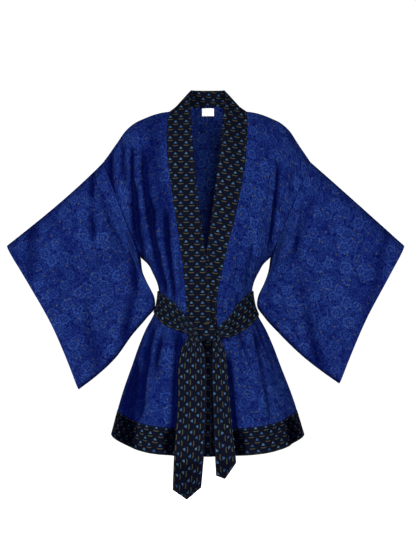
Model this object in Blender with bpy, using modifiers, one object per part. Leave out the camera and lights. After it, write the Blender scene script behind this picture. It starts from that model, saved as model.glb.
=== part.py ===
"""Short kimono robe, worn form with no wearer.

Frame: metres, +Z up, the front faces -Y, and X runs from the robe's right side (negative)
to its left side (positive). The origin is at the neck, on the line of the shoulders.
Every cloth piece is an open surface on one shared body form, given its wall by Solidify.
"""
from math import pi

import bpy
import numpy as np

# Driving dimensions in metres
CLOTH_WALL = 0.0015
TRIM_WALL = 0.0024
SEAM_GAP = 0.0005
ARMPIT = (0.154, -0.350)
DROP_SEAM_TOP = (0.247, -0.120)
HEM_FRONT = -0.808
HEM_SIDE_RISE = 0.034
HEM_RISE_POWER = 3.6
HEM_BAND_HEIGHT = 0.064
NECK_HALF_WIDTH = 0.092
NECK_COLUMN_RISE = 0.120
BACK_NECK_RISE = 0.0195
BAND_LIFT = 0.0046
BAND_LIFT_SHARE = 0.45
BAND_LIFT_ROWS = (0.86, 1.04)
NECK_BLEND_DROPS = (0.15, 0.42)
LEAN = 0.006
LEAN_LENGTH = 0.80
CHEST_DEPTH_FRONT = 0.112
CHEST_DEPTH_BACK = 0.098
SHOULDER_ROUNDING = 2.0
SIDE_ROUNDING = 0.84
ROUNDING_DROPS = (0.70, 1.00)
LABEL_SIZE = (0.032, 0.019)
LABEL_WALL = 0.001
LABEL_CLEARANCE = 0.0009
LABEL_ROWS = (0.007, 0.045)
BELT_CLEARANCE = 0.0032
BELT_KNOT_LIFT = 0.0135
BELT_LIFT_TURNS = (0.18, 0.42)
BELT_CROWN = 0.0012
BELT_ENDS = {"right": 0.0708, "left": 0.1088}
FRONT = -1.0
BACK = 1.0
BAND_INSET = 0.014
NECK_INSET = 0.030
KNOT_CENTRE = (-0.001, -0.5215)
KNOT_HALF = (0.0205, 0.0095, 0.0200)
KNOT_LIFT = 0.0185
KNOT_TAPER = {"below": 0.28, "above": 0.08}
KNOT_CROWN = 0.80
KNOT_SQUARE = 0.7

# Edges of the grids: just short of the side seam, the shoulder line and the hem band
SIDE_EDGE = pi / 2 - 0.0008
SHOULDER_EDGE = 0.0024
HEM_BAND_ROW = 2.0 - HEM_BAND_HEIGHT / (ARMPIT[1] - HEM_FRONT)
NECK_TURN = float(np.arcsin(NECK_HALF_WIDTH / DROP_SEAM_TOP[0]))
NORMAL_STEP = 0.02

# Grid sizes
UPPER_ROWS = 11
LOWER_ROWS = 15
HEM_ROWS = 4
FRONT_COLUMNS = 13
SHOULDER_COLUMNS = 11
NECK_COLUMNS = 9
BAND_COLUMNS = 5
SLEEVE_STEPS = 14
BELT_COLUMNS = 5
BELT_FRONT_ROWS = 11
BELT_BACK_ROWS = 10
TAIL_ROWS = 15
KNOT_ROUND = 24
KNOT_ROWS = 9

# Shoulder line: distance from the centre as a share of the drop seam's, and height
SHOULDER_LINE = [
    (0.3725, 0.000),
    (0.43, -0.0018),
    (0.52, -0.0072),
    (0.61, -0.0158),
    (0.73, -0.0315),
    (0.80, -0.0480),
    (0.875, -0.0755),
    (1.00, -0.120),
]

# Body sections below the armpit: height, half width, depth in front, depth at the back
BODY_SECTIONS = [
    (-0.350, 0.154, 0.112, 0.098),
    (-0.366, 0.138, 0.110, 0.094),
    (-0.389, 0.126, 0.106, 0.089),
    (-0.418, 0.1145, 0.101, 0.083),
    (-0.440, 0.111, 0.098, 0.080),
    (-0.475, 0.1155, 0.096, 0.080),
    (-0.504, 0.127, 0.099, 0.086),
    (-0.533, 0.142, 0.104, 0.096),
    (-0.575, 0.159, 0.111, 0.108),
    (-0.634, 0.179, 0.119, 0.120),
    (-0.692, 0.199, 0.127, 0.130),
    (-0.750, 0.216, 0.134, 0.138),
    (-0.808, 0.231, 0.139, 0.143),
]

# Neckband on the fronts: height, distance of its seam from the centre on the right front
# and on the left front, then the width that shows on the right and on the left
BAND_SEAM = [
    (0.000, 0.0920, 0.0920, 0.0570, 0.0570),
    (-0.030, 0.0955, 0.0940, 0.0560, 0.0570),
    (-0.085, 0.0950, 0.0930, 0.0555, 0.0570),
    (-0.124, 0.0910, 0.0903, 0.0550, 0.0567),
    (-0.182, 0.0825, 0.0822, 0.0545, 0.0553),
    (-0.275, 0.0670, 0.0640, 0.0538, 0.0505),
    (-0.315, 0.0610, 0.0543, 0.0558, 0.0476),
    (-0.356, 0.0547, 0.0447, 0.0578, 0.0462),
    (-0.442, 0.0460, 0.0280, 0.0570, 0.0480),
    (-0.490, 0.0440, 0.0262, 0.0570, 0.0520),
    (-0.533, 0.0430, 0.0290, 0.0570, 0.0570),
    (-0.808, 0.0470, 0.0280, 0.0570, 0.0570),
]

# Free edge of the neckband round the neck. Station is minus the drop below the shoulder
# on the front, 0 on the shoulder and 1 at the centre back; then x (outwards) on the right
# and on the left, y, z
NECK_EDGE = [
    (-0.40, 0.0340, 0.0275, -0.096, -0.108),
    (-0.15, 0.0405, 0.0348, -0.064, -0.022),
    (-0.05, 0.0410, 0.0368, -0.036, 0.012),
    (0.00, 0.0410, 0.0382, -0.006, 0.036),
    (0.25, 0.0405, 0.0392, 0.024, 0.0530),
    (0.50, 0.0390, 0.0384, 0.051, 0.0588),
    (0.75, 0.0270, 0.0270, 0.071, 0.0608),
    (1.00, 0.0000, 0.0000, 0.080, 0.0615),
]

# Lower path of each sleeve, from the armpit down the closed inner edge, round the corner
# and along the bottom seam to the cuff: x (outwards) and height
SLEEVE_LOWER = {
    "right": [
        (0.1560, -0.352),
        (0.1515, -0.385),
        (0.1375, -0.418),
        (0.1225, -0.448),
        (0.1225, -0.470),
        (0.1400, -0.492),
        (0.1755, -0.533),
        (0.2180, -0.590),
        (0.2610, -0.630),
        (0.3060, -0.664),
    ],
    "left": [
        (0.1560, -0.352),
        (0.1510, -0.385),
        (0.1388, -0.418),
        (0.1258, -0.446),
        (0.1242, -0.466),
        (0.1395, -0.490),
        (0.1770, -0.532),
        (0.2300, -0.584),
        (0.2750, -0.620),
        (0.3170, -0.650),
    ],
}
CUFF_TOP = (0.4738, -0.3215)
CUFF_BOW = {"right": 0.0145, "left": 0.0075}
SLEEVE_TOP_SAG = {"right": 0.0075, "left": -0.001}
CUFF_FORWARD = 0.014

# Half depth of the sleeve tube: place along the sleeve, at the arm, low down, and the
# rounding lengths at the fold and at the bottom
SLEEVE_DEPTH = [
    (0.00, 0.052, 0.046, 0.055, 0.050),
    (0.12, 0.052, 0.024, 0.052, 0.022),
    (0.30, 0.048, 0.013, 0.050, 0.012),
    (0.60, 0.043, 0.012, 0.046, 0.012),
    (1.00, 0.038, 0.012, 0.042, 0.012),
]
ARM_ROOM = (0.080, 0.230)
SLEEVE_TOP_SPREAD = 1.25
SLEEVE_FOLD_REACH = 0.40
SLEEVE_FLAT_DEPTH = 0.020
SLEEVE_STATIONS = [0.0, 0.03, 0.07, 0.115, 0.16, 0.205] + [0.25 + 0.09375 * n for n in range(9)]

# Belt edges: turn (0 front centre, 1 side, 2 back centre), top and bottom heights on the
# right and on the left
BELT_EDGES = [
    (0.12, -0.508, -0.531, -0.514, -0.540),
    (0.26, -0.482, -0.524, -0.493, -0.536),
    (0.44, -0.459, -0.516, -0.464, -0.524),
    (0.61, -0.446, -0.507, -0.446, -0.512),
    (0.80, -0.439, -0.496, -0.439, -0.503),
    (1.00, -0.436, -0.490, -0.436, -0.497),
    (1.40, -0.432, -0.489, -0.432, -0.491),
    (2.00, -0.430, -0.488, -0.430, -0.488),
]

# Belt tails: height, inner x and outer x of the hanging strip
TAIL_RIGHT = [
    (-0.524, -0.0380, -0.0163),
    (-0.534, -0.0410, -0.0149),
    (-0.546, -0.0480, -0.0100),
    (-0.562, -0.0560, -0.0030),
    (-0.590, -0.0625, -0.0003),
    (-0.678, -0.0665, -0.0002),
    (-0.806, -0.0780, -0.0090),
    (-0.884, -0.0815, -0.0150),
]
TAIL_LEFT = [
    (-0.530, 0.0226, 0.0340),
    (-0.546, 0.0160, 0.0360),
    (-0.565, 0.0150, 0.0430),
    (-0.607, 0.0135, 0.0480),
    (-0.678, 0.0138, 0.0527),
    (-0.806, 0.0160, 0.0620),
    (-0.850, 0.0183, 0.0645),
]
TAIL_LIFT = 0.0110
TAIL_WAVE = 0.0012
TIP_START = 0.6

# Tips of the tails: share of the width from the inner edge, and height against the last row
TIP_RIGHT = [(0.0, 0.0), (0.5, -0.022), (1.0, 0.007)]
TIP_LEFT = [(0.0, 0.0), (0.45, -0.008), (1.0, 0.029)]

# Largest folds: face, then x and height of both ends, half width and rise of the ridge
# (a trough is negative), in metres
FOLDS = [
    (FRONT, -0.180, -0.080, -0.172, -0.320, 0.0120, -0.0070),
    (FRONT, -0.160, -0.100, -0.142, -0.300, 0.0130, 0.0050),
    (FRONT, -0.144, -0.150, -0.094, -0.415, 0.0110, -0.0065),
    (FRONT, -0.112, -0.230, -0.072, -0.430, 0.0100, 0.0045),
    (FRONT, -0.092, -0.260, -0.068, -0.400, 0.0070, -0.0035),
    (FRONT, 0.164, -0.130, 0.142, -0.330, 0.0130, -0.0070),
    (FRONT, 0.140, -0.160, 0.108, -0.400, 0.0130, 0.0045),
    (FRONT, 0.112, -0.250, 0.088, -0.410, 0.0100, -0.0035),
    (FRONT, -0.137, -0.520, -0.172, -0.640, 0.0110, -0.0050),
    (FRONT, -0.108, -0.530, -0.124, -0.650, 0.0090, -0.0040),
    (FRONT, -0.080, -0.560, -0.090, -0.840, 0.0120, -0.0050),
    (FRONT, -0.112, -0.600, -0.130, -0.860, 0.0200, 0.0060),
    (FRONT, -0.160, -0.640, -0.186, -0.860, 0.0170, -0.0070),
    (FRONT, 0.070, -0.640, 0.078, -0.860, 0.0120, -0.0050),
    (FRONT, 0.108, -0.560, 0.134, -0.860, 0.0220, 0.0060),
    (FRONT, 0.150, -0.600, 0.196, -0.860, 0.0160, -0.0070),
    (BACK, 0.000, -0.520, 0.000, -0.860, 0.0240, 0.0070),
    (BACK, -0.055, -0.510, -0.072, -0.860, 0.0170, -0.0070),
    (BACK, -0.100, -0.540, -0.134, -0.860, 0.0220, 0.0060),
    (BACK, 0.058, -0.510, 0.080, -0.860, 0.0170, -0.0070),
    (BACK, 0.104, -0.540, 0.142, -0.860, 0.0220, 0.0060),
    (BACK, -0.050, -0.200, -0.040, -0.410, 0.0140, -0.0040),
    (BACK, 0.052, -0.210, 0.042, -0.410, 0.0140, -0.0040),
    (BACK, -0.172, -0.110, -0.120, -0.400, 0.0130, -0.0070),
    (BACK, 0.170, -0.110, 0.118, -0.400, 0.0130, -0.0070),
]
FOLD_END = 0.045

# Sleeve folds: side, face, then place along and down the sleeve at both ends, half width
# and rise
SLEEVE_FOLDS = [
    ("right", FRONT, 0.06, 0.20, 0.22, 0.75, 0.016, -0.0060),
    ("right", FRONT, 0.26, 0.10, 0.44, 0.90, 0.024, 0.0040),
    ("right", FRONT, 0.62, 0.16, 0.80, 0.90, 0.026, -0.0040),
    ("left", FRONT, 0.08, 0.22, 0.26, 0.80, 0.016, -0.0050),
    ("left", FRONT, 0.36, 0.18, 0.62, 0.92, 0.024, -0.0060),
    ("left", FRONT, 0.60, 0.12, 0.86, 0.86, 0.026, 0.0040),
    ("right", BACK, 0.10, 0.16, 0.30, 0.80, 0.018, -0.0060),
    ("right", BACK, 0.40, 0.16, 0.62, 0.90, 0.024, 0.0050),
    ("left", BACK, 0.12, 0.18, 0.32, 0.80, 0.018, -0.0060),
    ("left", BACK, 0.46, 0.14, 0.70, 0.90, 0.024, 0.0050),
]


def smooth(table, at, column=1):
    """Read a table's column at given places along a smooth curve through its rows."""
    rows = np.array(sorted(row for row in table), dtype=float)
    keys, values = rows[:, 0], rows[:, column]
    slopes = np.gradient(values, keys)
    at = np.clip(np.asarray(at, dtype=float), keys[0], keys[-1])
    low = np.clip(np.searchsorted(keys, at) - 1, 0, len(keys) - 2)
    span = keys[low + 1] - keys[low]
    s = (at - keys[low]) / span
    return (
        (1 + 2 * s) * (1 - s) ** 2 * values[low]
        + s * (1 - s) ** 2 * span * slopes[low]
        + s * s * (3 - 2 * s) * values[low + 1]
        + s * s * (s - 1) * span * slopes[low + 1]
    )


def ease(value):
    """Smooth step from 0 to 1."""
    value = np.clip(value, 0.0, 1.0)
    return value * value * (3.0 - 2.0 * value)


def step_between(value, limits):
    """Smooth step from 0 at the first limit to 1 at the second."""
    return ease((value - limits[0]) / (limits[1] - limits[0]))


def lean(height):
    """Sideways hang of the robe: it swings a little to its right at the waist."""
    return -LEAN * np.sin(pi * np.clip(-height / LEAN_LENGTH, 0.0, 1.0))


def ridge(x, z, x1, z1, x2, z2, half_width, rise, end_length):
    """One soft ridge or trough along a straight line, fading out at both ends."""
    length = np.hypot(x2 - x1, z2 - z1)
    along = ((x - x1) * (x2 - x1) + (z - z1) * (z2 - z1)) / length
    across = ((x - x1) * (z2 - z1) - (z - z1) * (x2 - x1)) / length
    fade = ease(along / end_length) * ease((length - along) / end_length)
    return rise * fade * np.exp(-((across / half_width) ** 2))


def body_folds(x, z, face):
    """Sum of the body's folds at places in the front view."""
    total = np.zeros_like(x)
    for side, x1, z1, x2, z2, half_width, rise in FOLDS:
        if side == face:
            total += ridge(x, z, x1, z1, x2, z2, half_width, rise, FOLD_END)
    return total


def shoulder_height(share):
    """Height of the shoulder line, which rises as a column inside the neck."""
    neck_share = NECK_HALF_WIDTH / DROP_SEAM_TOP[0]
    column = NECK_COLUMN_RISE * (1.0 - (share / neck_share) ** 2)
    return np.where(share < neck_share, column, smooth(SHOULDER_LINE, share))


def armhole_depth(drop):
    """Half depth of the armhole at a drop from 0 at the shoulder to 1 at the armpit."""
    return sleeve_half_depth(np.zeros_like(drop), drop, armhole_length())


def armhole_length():
    return np.hypot(DROP_SEAM_TOP[0] - ARMPIT[0], DROP_SEAM_TOP[1] - ARMPIT[1])


def hem_height(share):
    return HEM_FRONT + HEM_SIDE_RISE * np.abs(share) ** HEM_RISE_POWER


def base_form(turn, row, face):
    """The body form before folds.

    turn is the angle from the centre to the side, signed. row is 0 on the shoulder line,
    1 at the armpit and 2 at the hem. Above the armpit the outline widens to the drop
    seam; x is the half width times sin(turn), and the depth is an arch over the shoulder
    times a power of cos(turn), opened at its side to the armhole's depth.
    """
    turn, row = np.broadcast_arrays(np.asarray(turn, float), np.asarray(row, float))
    share = np.sin(turn)
    side = np.abs(share)
    upper = np.clip(row, 0.0, 1.0) * pi / 2
    drop = 1.0 - np.cos(upper)
    lower = np.clip(row - 1.0, 0.0, 1.0)
    section = ARMPIT[1] + lower * (HEM_FRONT - ARMPIT[1])
    is_upper = row < 1.0
    half = np.where(
        is_upper,
        DROP_SEAM_TOP[0] + (ARMPIT[0] - DROP_SEAM_TOP[0]) * drop,
        smooth(BODY_SECTIONS, section, 1),
    )
    chest = CHEST_DEPTH_FRONT if face == FRONT else CHEST_DEPTH_BACK
    full = np.where(
        is_upper,
        chest * np.sin(upper),
        smooth(BODY_SECTIONS, section, 2 if face == FRONT else 3),
    )
    z = np.where(
        is_upper,
        shoulder_height(side) * (1.0 - drop) + ARMPIT[1] * drop,
        ARMPIT[1] + lower * (hem_height(side) - ARMPIT[1]),
    )
    open_side = np.where(is_upper, armhole_depth(drop), 0.0)
    change = step_between(drop, ROUNDING_DROPS)
    power = SHOULDER_ROUNDING + (SIDE_ROUNDING - SHOULDER_ROUNDING) * change
    power = np.where(is_upper, power, SIDE_ROUNDING)
    round_off = np.abs(np.cos(turn)) ** power
    y = face * (open_side + (full - open_side) * round_off)
    return np.stack([half * share, y, z], axis=-1)


def body_point(turn, row, face, out=0.0):
    """A point of the body form with its folds, moved out from the cloth by out."""
    turn, row = np.broadcast_arrays(np.asarray(turn, float), np.asarray(row, float))
    here = base_form(turn, row, face)
    inward = np.where(turn > 0, -NORMAL_STEP, NORMAL_STEP)
    across = (base_form(turn + inward, row, face) - here) * np.sign(inward)[..., None]
    way = np.where(row > 1.0, -NORMAL_STEP, NORMAL_STEP)
    down = (base_form(turn, row + way, face) - here) * np.sign(way)[..., None]
    normal = np.cross(down, across) * -face
    normal /= np.linalg.norm(normal, axis=-1, keepdims=True) + 1e-12
    raised = out + body_folds(here[..., 0], here[..., 2], face)
    point = here + normal * np.asarray(raised)[..., None]
    point[..., 0] += lean(point[..., 2])
    return point


def turn_of(x, row):
    """The turn at which the form has a given x."""
    drop = 1.0 - np.cos(np.clip(row, 0.0, 1.0) * pi / 2)
    section = ARMPIT[1] + np.clip(row - 1.0, 0.0, 1.0) * (HEM_FRONT - ARMPIT[1])
    upper = DROP_SEAM_TOP[0] + (ARMPIT[0] - DROP_SEAM_TOP[0]) * drop
    half = np.where(row < 1.0, upper, smooth(BODY_SECTIONS, section, 1))
    return np.arcsin(np.clip(x / half, -1.0, 1.0))


def row_of(height):
    """The row below the armpit that lies at a height at the centre."""
    return 1.0 + (np.asarray(height) - ARMPIT[1]) / (HEM_FRONT - ARMPIT[1])


def nominal_height(row):
    """Height of a row at the neckband's seam."""
    drop = 1.0 - np.cos(np.clip(row, 0.0, 1.0) * pi / 2)
    below = ARMPIT[1] + (row - 1.0) * (HEM_FRONT - ARMPIT[1])
    return np.where(row < 1.0, ARMPIT[1] * drop, below)


def seam_x(row, side):
    """Signed x of the neckband's seam on one front."""
    column = 1 if side == "right" else 2
    sign = -1.0 if side == "right" else 1.0
    return sign * smooth(BAND_SEAM, nominal_height(row), column)


def band_width(row, side):
    """Width of the neckband that shows at a row of one front."""
    return smooth(BAND_SEAM, nominal_height(row), 3 if side == "right" else 4)


def sleeve_half_depth(along, down, length):
    """Half depth of the sleeve tube: round over the arm, flat and closing below."""
    arm = smooth(SLEEVE_DEPTH, along, 1)
    low = smooth(SLEEVE_DEPTH, along, 2)
    top_round = smooth(SLEEVE_DEPTH, along, 3)
    bottom_round = smooth(SLEEVE_DEPTH, along, 4)
    from_top = down * length
    from_bottom = (1.0 - down) * length
    fall = step_between(from_top, ARM_ROOM)
    top = np.sqrt(1.0 - (1.0 - np.clip(from_top / top_round, 0, 1)) ** 2)
    bottom = np.sqrt(1.0 - (1.0 - np.clip(from_bottom / bottom_round, 0, 1)) ** 2)
    return (arm + (low - arm) * fall) * top * bottom


def path_point(points, share):
    """Point at a share of the way along a smooth path through given points."""
    points = np.array(points)
    steps = np.hypot(*np.diff(points, axis=0).T)
    marks = np.concatenate([[0.0], np.cumsum(steps)]) / steps.sum()
    xs = smooth(np.column_stack([marks, points[:, 0]]).tolist(), share)
    zs = smooth(np.column_stack([marks, points[:, 1]]).tolist(), share)
    return xs, zs


def sleeve_point(side, along, down, face, out=0.0):
    """A point of a sleeve: rings run from the top fold to the lower path."""
    along, down = np.broadcast_arrays(np.asarray(along, float), np.asarray(down, float))
    reach = along**SLEEVE_TOP_SPREAD
    top_x = DROP_SEAM_TOP[0] + (CUFF_TOP[0] - DROP_SEAM_TOP[0]) * reach
    top_z = DROP_SEAM_TOP[1] + (CUFF_TOP[1] - DROP_SEAM_TOP[1]) * reach
    low_x, low_z = path_point(SLEEVE_LOWER[side], along)
    top_z = top_z - SLEEVE_TOP_SAG[side] * np.sin(pi * along)
    bow = CUFF_BOW[side] * along**2 * np.sin(pi * down)
    x = top_x + (low_x - top_x) * down - bow
    z = top_z + (low_z - top_z) * down
    length = np.hypot(low_x - top_x, low_z - top_z)
    depth = sleeve_half_depth(along, down, length)
    fold = np.zeros_like(x)
    for name, side_face, s1, d1, s2, d2, half_width, rise in SLEEVE_FOLDS:
        if name == side and side_face == face:
            ends = [SLEEVE_FOLD_REACH * place for place in (s1, d1, s2, d2)]
            fold += ridge(
                along * SLEEVE_FOLD_REACH, down * SLEEVE_FOLD_REACH,
                *ends, half_width, rise, FOLD_END,
            )
    keep = np.clip(depth / SLEEVE_FLAT_DEPTH, 0.0, 1.0)
    y = face * (depth + fold * keep + out) - CUFF_FORWARD * along
    sign = -1.0 if side == "right" else 1.0
    return np.stack([sign * x + lean(z), y, z], axis=-1)


def material(name, color, roughness):
    result = bpy.data.materials.new(name)
    result.use_nodes = True
    shader = result.node_tree.nodes["Principled BSDF"]
    shader.inputs["Base Color"].default_value = (*color, 1.0)
    shader.inputs["Roughness"].default_value = roughness
    return result


def add_sheet(name, points, closed_round=False, wall=None, color=None, flip=False):
    """Make a mesh from a grid of points (rows, columns) and give it a wall."""
    rows, columns = points.shape[:2]
    numbers = np.arange(rows * columns).reshape(rows, columns)
    if closed_round:
        numbers = np.concatenate([numbers, numbers[:, :1]], axis=1)
    quads = np.stack(
        [numbers[:-1, :-1], numbers[1:, :-1], numbers[1:, 1:], numbers[:-1, 1:]], axis=-1
    ).reshape(-1, 4)
    if flip:
        quads = quads[:, ::-1]
    mesh = bpy.data.meshes.new(name)
    mesh.from_pydata(points.reshape(-1, 3).tolist(), [], quads.tolist())
    mesh.update()
    mesh.shade_smooth()
    sheet = bpy.data.objects.new(name, mesh)
    robe.objects.link(sheet)
    sheet.data.materials.append(material(name, color, 0.75))
    shell = sheet.modifiers.new("wall", "SOLIDIFY")
    shell.thickness = wall
    shell.offset = 0.0
    shell.use_even_offset = False
    shell.use_rim = True
    return sheet


def panel_rows():
    """Rows of a front panel, from the shoulder to the hem band."""
    upper = np.linspace(SHOULDER_EDGE, 1.0, UPPER_ROWS)
    lower = np.linspace(1.0, HEM_BAND_ROW - SEAM_GAP, LOWER_ROWS)[1:]
    return np.concatenate([upper, lower])


def hem_rows():
    return np.linspace(HEM_BAND_ROW + SEAM_GAP, 2.0, HEM_ROWS)


def front_turns(side, inner):
    """Turns of a front's columns, from the given inner edge out to the side seam."""
    sign = -1.0 if side == "right" else 1.0
    share = np.linspace(0.0, 1.0, FRONT_COLUMNS)
    return inner[:, None] + (sign * SIDE_EDGE - inner[:, None]) * share


def back_turns():
    """Turns of the back's columns, from side seam to side seam."""
    shoulder = np.linspace(NECK_TURN, SIDE_EDGE, SHOULDER_COLUMNS)
    return np.concatenate([-shoulder[::-1], neck_turns(), shoulder])


def make_front(side):
    rows = panel_rows()
    turns = front_turns(side, turn_of(seam_x(rows, side), rows))
    points = body_point(turns, rows[:, None], FRONT)
    add_sheet("front_" + side, points, wall=CLOTH_WALL, color=BLUE, flip=side == "left")


def neck_row(turn):
    """Row of the back neck seam at a turn; 0 outside the neck."""
    share = np.abs(np.sin(turn))
    x_share = np.clip(share * DROP_SEAM_TOP[0] / NECK_HALF_WIDTH, 0.0, 1.0)
    seam_z = BACK_NECK_RISE * (1.0 - x_share**2)
    top = shoulder_height(share)
    drop = np.where(x_share < 1.0, (top - seam_z) / (top - ARMPIT[1]), 0.0)
    return np.arccos(1.0 - np.clip(drop, 0.0, 1.0)) / (pi / 2)


def make_back():
    turns = back_turns()
    first = np.maximum(neck_row(turns), SHOULDER_EDGE)
    upper = first + (1.0 - first) * np.linspace(0.0, 1.0, UPPER_ROWS)[:, None]
    lower = np.linspace(1.0, HEM_BAND_ROW - SEAM_GAP, LOWER_ROWS)[1:, None] + 0.0 * turns
    rows = np.concatenate([upper, lower], axis=0)
    points = body_point(turns + 0.0 * rows, rows, BACK)
    add_sheet("back", points, wall=CLOTH_WALL, color=BLUE)


def make_hem_back():
    rows = hem_rows()[:, None]
    turns = back_turns()
    points = body_point(turns + 0.0 * rows, rows + 0.0 * turns, BACK)
    add_sheet("hem_band_back", points, wall=TRIM_WALL, color=NAVY)


def make_hem_front(side):
    sign = -1.0 if side == "right" else 1.0
    rows = hem_rows()
    turns = front_turns(side, turn_of(seam_x(rows, side) + sign * SEAM_GAP, rows))
    points = body_point(turns, rows[:, None], FRONT)
    add_sheet("hem_band_" + side, points, wall=TRIM_WALL, color=NAVY, flip=side == "left")


def make_sleeve(side):
    along = np.array(SLEEVE_STATIONS)
    down = (1.0 - np.cos(np.linspace(0.0, pi, SLEEVE_STEPS + 1))) / 2
    front = sleeve_point(side, along[:, None], down[None, :], FRONT)
    back = sleeve_point(side, along[:, None], down[None, ::-1], BACK)
    points = np.concatenate([front, back[:, 1:-1]], axis=1)
    sign = -1.0 if side == "right" else 1.0
    points[0, :, 0] += sign * SEAM_GAP
    add_sheet(
        "sleeve_" + side, points, closed_round=True, wall=CLOTH_WALL, color=BLUE,
        flip=side == "right",
    )


def neck_edge(station, sign):
    """A point of the free edge round the neck, on the right (sign -1) or on the left (1)."""
    x = np.where(sign < 0, smooth(NECK_EDGE, station, 1), smooth(NECK_EDGE, station, 2))
    y = smooth(NECK_EDGE, station, 3)
    z = smooth(NECK_EDGE, station, 4)
    return np.stack([sign * x, y, z], axis=-1)


def band_front(side, rows, across):
    """The neckband on one front: on the body form from its seam to its free edge."""
    sign = -1.0 if side == "right" else 1.0
    rows = rows[:, None]
    seam = seam_x(rows, side)
    x = seam - sign * band_width(rows, side) * across
    lift = BAND_LIFT * ease(across / BAND_LIFT_SHARE) * step_between(rows, BAND_LIFT_ROWS)
    if side == "left":
        lift = np.zeros_like(lift)
    on_body = body_point(turn_of(x, rows + 0.0 * x), rows + 0.0 * x, FRONT, lift)
    start = body_point(turn_of(seam, rows), rows, FRONT)
    drop = 1.0 - np.cos(np.clip(rows, 0.0, 1.0) * pi / 2)
    edge = neck_edge(-drop, sign)
    at_neck = start + (edge - start) * across[..., None]
    blend = 1.0 - step_between(drop, NECK_BLEND_DROPS)[..., None]
    return on_body + (at_neck - on_body) * blend


def neck_turns():
    """Turns of the columns inside the back neck."""
    return np.linspace(-NECK_TURN, NECK_TURN, NECK_COLUMNS)[1:-1]


def band_back(turn, across):
    """The neckband standing round the back neck, from shoulder to shoulder."""
    x = DROP_SEAM_TOP[0] * np.sin(turn)
    place = np.arccos(np.abs(x) / NECK_HALF_WIDTH) / (pi / 2)
    start = body_point(turn, neck_row(turn), BACK)
    edge = neck_edge(place, np.sign(turn))
    return start[:, None] + (edge - start)[:, None] * across[..., None]


def make_neckband():
    rows = np.concatenate([panel_rows(), hem_rows()])
    share = np.linspace(0.0, 1.0, BAND_COLUMNS)
    inset = BAND_INSET + (1.0 - BAND_INSET) * share
    right = band_front("right", rows[::-1], inset + 0.0 * rows[:, None])
    left = band_front("left", rows, inset + 0.0 * rows[:, None])
    turns = neck_turns()
    inset = NECK_INSET + (1.0 - NECK_INSET) * share
    back = band_back(turns, inset + 0.0 * turns[:, None])
    points = np.concatenate([right, back, left], axis=0)
    add_sheet("neckband", points, wall=TRIM_WALL, color=NAVY, flip=False)


def belt_point(turn, across, side):
    """Belt surface at a turn (0 front, 1 side, 2 back) and a share of its height."""
    column = 1 if side == "right" else 3
    sign = -1.0 if side == "right" else 1.0
    top = smooth(BELT_EDGES, turn, column)
    bottom = smooth(BELT_EDGES, turn, column + 1)
    height = top + (bottom - top) * across
    row = row_of(height)
    out = BELT_CLEARANCE + BELT_KNOT_LIFT * (1.0 - step_between(turn, BELT_LIFT_TURNS))
    out = out + BELT_CROWN * np.sin(pi * across)
    on_front = body_point(sign * np.minimum(turn, 1.0) * pi / 2, row, FRONT, out)
    on_back = body_point(sign * (2.0 - np.maximum(turn, 1.0)) * pi / 2, row, BACK, out)
    return np.where((turn <= 1.0)[..., None], on_front, on_back)


def make_belt_wrap():
    across = np.linspace(0.0, 1.0, BELT_COLUMNS)
    behind = np.linspace(1.0, 2.0, BELT_BACK_ROWS)[1:]
    halves = []
    for side in ("right", "left"):
        turns = np.concatenate([np.linspace(BELT_ENDS[side], 1.0, BELT_FRONT_ROWS), behind])
        turns = turns[:, None]
        halves.append(belt_point(turns + 0.0 * across, across + 0.0 * turns, side))
    points = np.concatenate([halves[0], halves[1][::-1][1:]], axis=0)
    add_sheet("belt_wrap", points, wall=TRIM_WALL, color=NAVY, flip=False)


def front_depth(x, height):
    """Depth of the front form at a place in the front view."""
    height = np.maximum(height, HEM_FRONT + 0.01)
    half = smooth(BODY_SECTIONS, height, 1)
    full = smooth(BODY_SECTIONS, height, 2)
    return full * (1.0 - np.clip(x / half, -0.98, 0.98) ** 2) ** (SIDE_ROUNDING / 2)


def make_tail(name, table, tip, columns):
    """A hanging belt end with a pointed tip, laid on the fronts and moved out."""
    heights = np.array([row[0] for row in table])
    steps = np.linspace(0.0, 1.0, TAIL_ROWS)
    z = heights[0] + (heights[-1] - heights[0]) * steps
    share = np.linspace(0.0, 1.0, columns)
    inner = smooth(table, z, 1)[:, None]
    outer = smooth(table, z, 2)[:, None]
    x = inner + (outer - inner) * share
    drop = np.interp(share, *np.transpose(tip))
    z = z[:, None] + drop * step_between(steps, (TIP_START, 1.0))[:, None]
    rise = TAIL_WAVE * np.sin(3.0 * pi * share) * ease(1.0 - 2.0 * steps)[:, None]
    y = -front_depth(x, z) - TAIL_LIFT - rise
    points = np.stack([x + lean(np.maximum(z, HEM_FRONT)), y, z], axis=-1)
    add_sheet(name, points, wall=TRIM_WALL, color=NAVY, flip=True)


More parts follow.
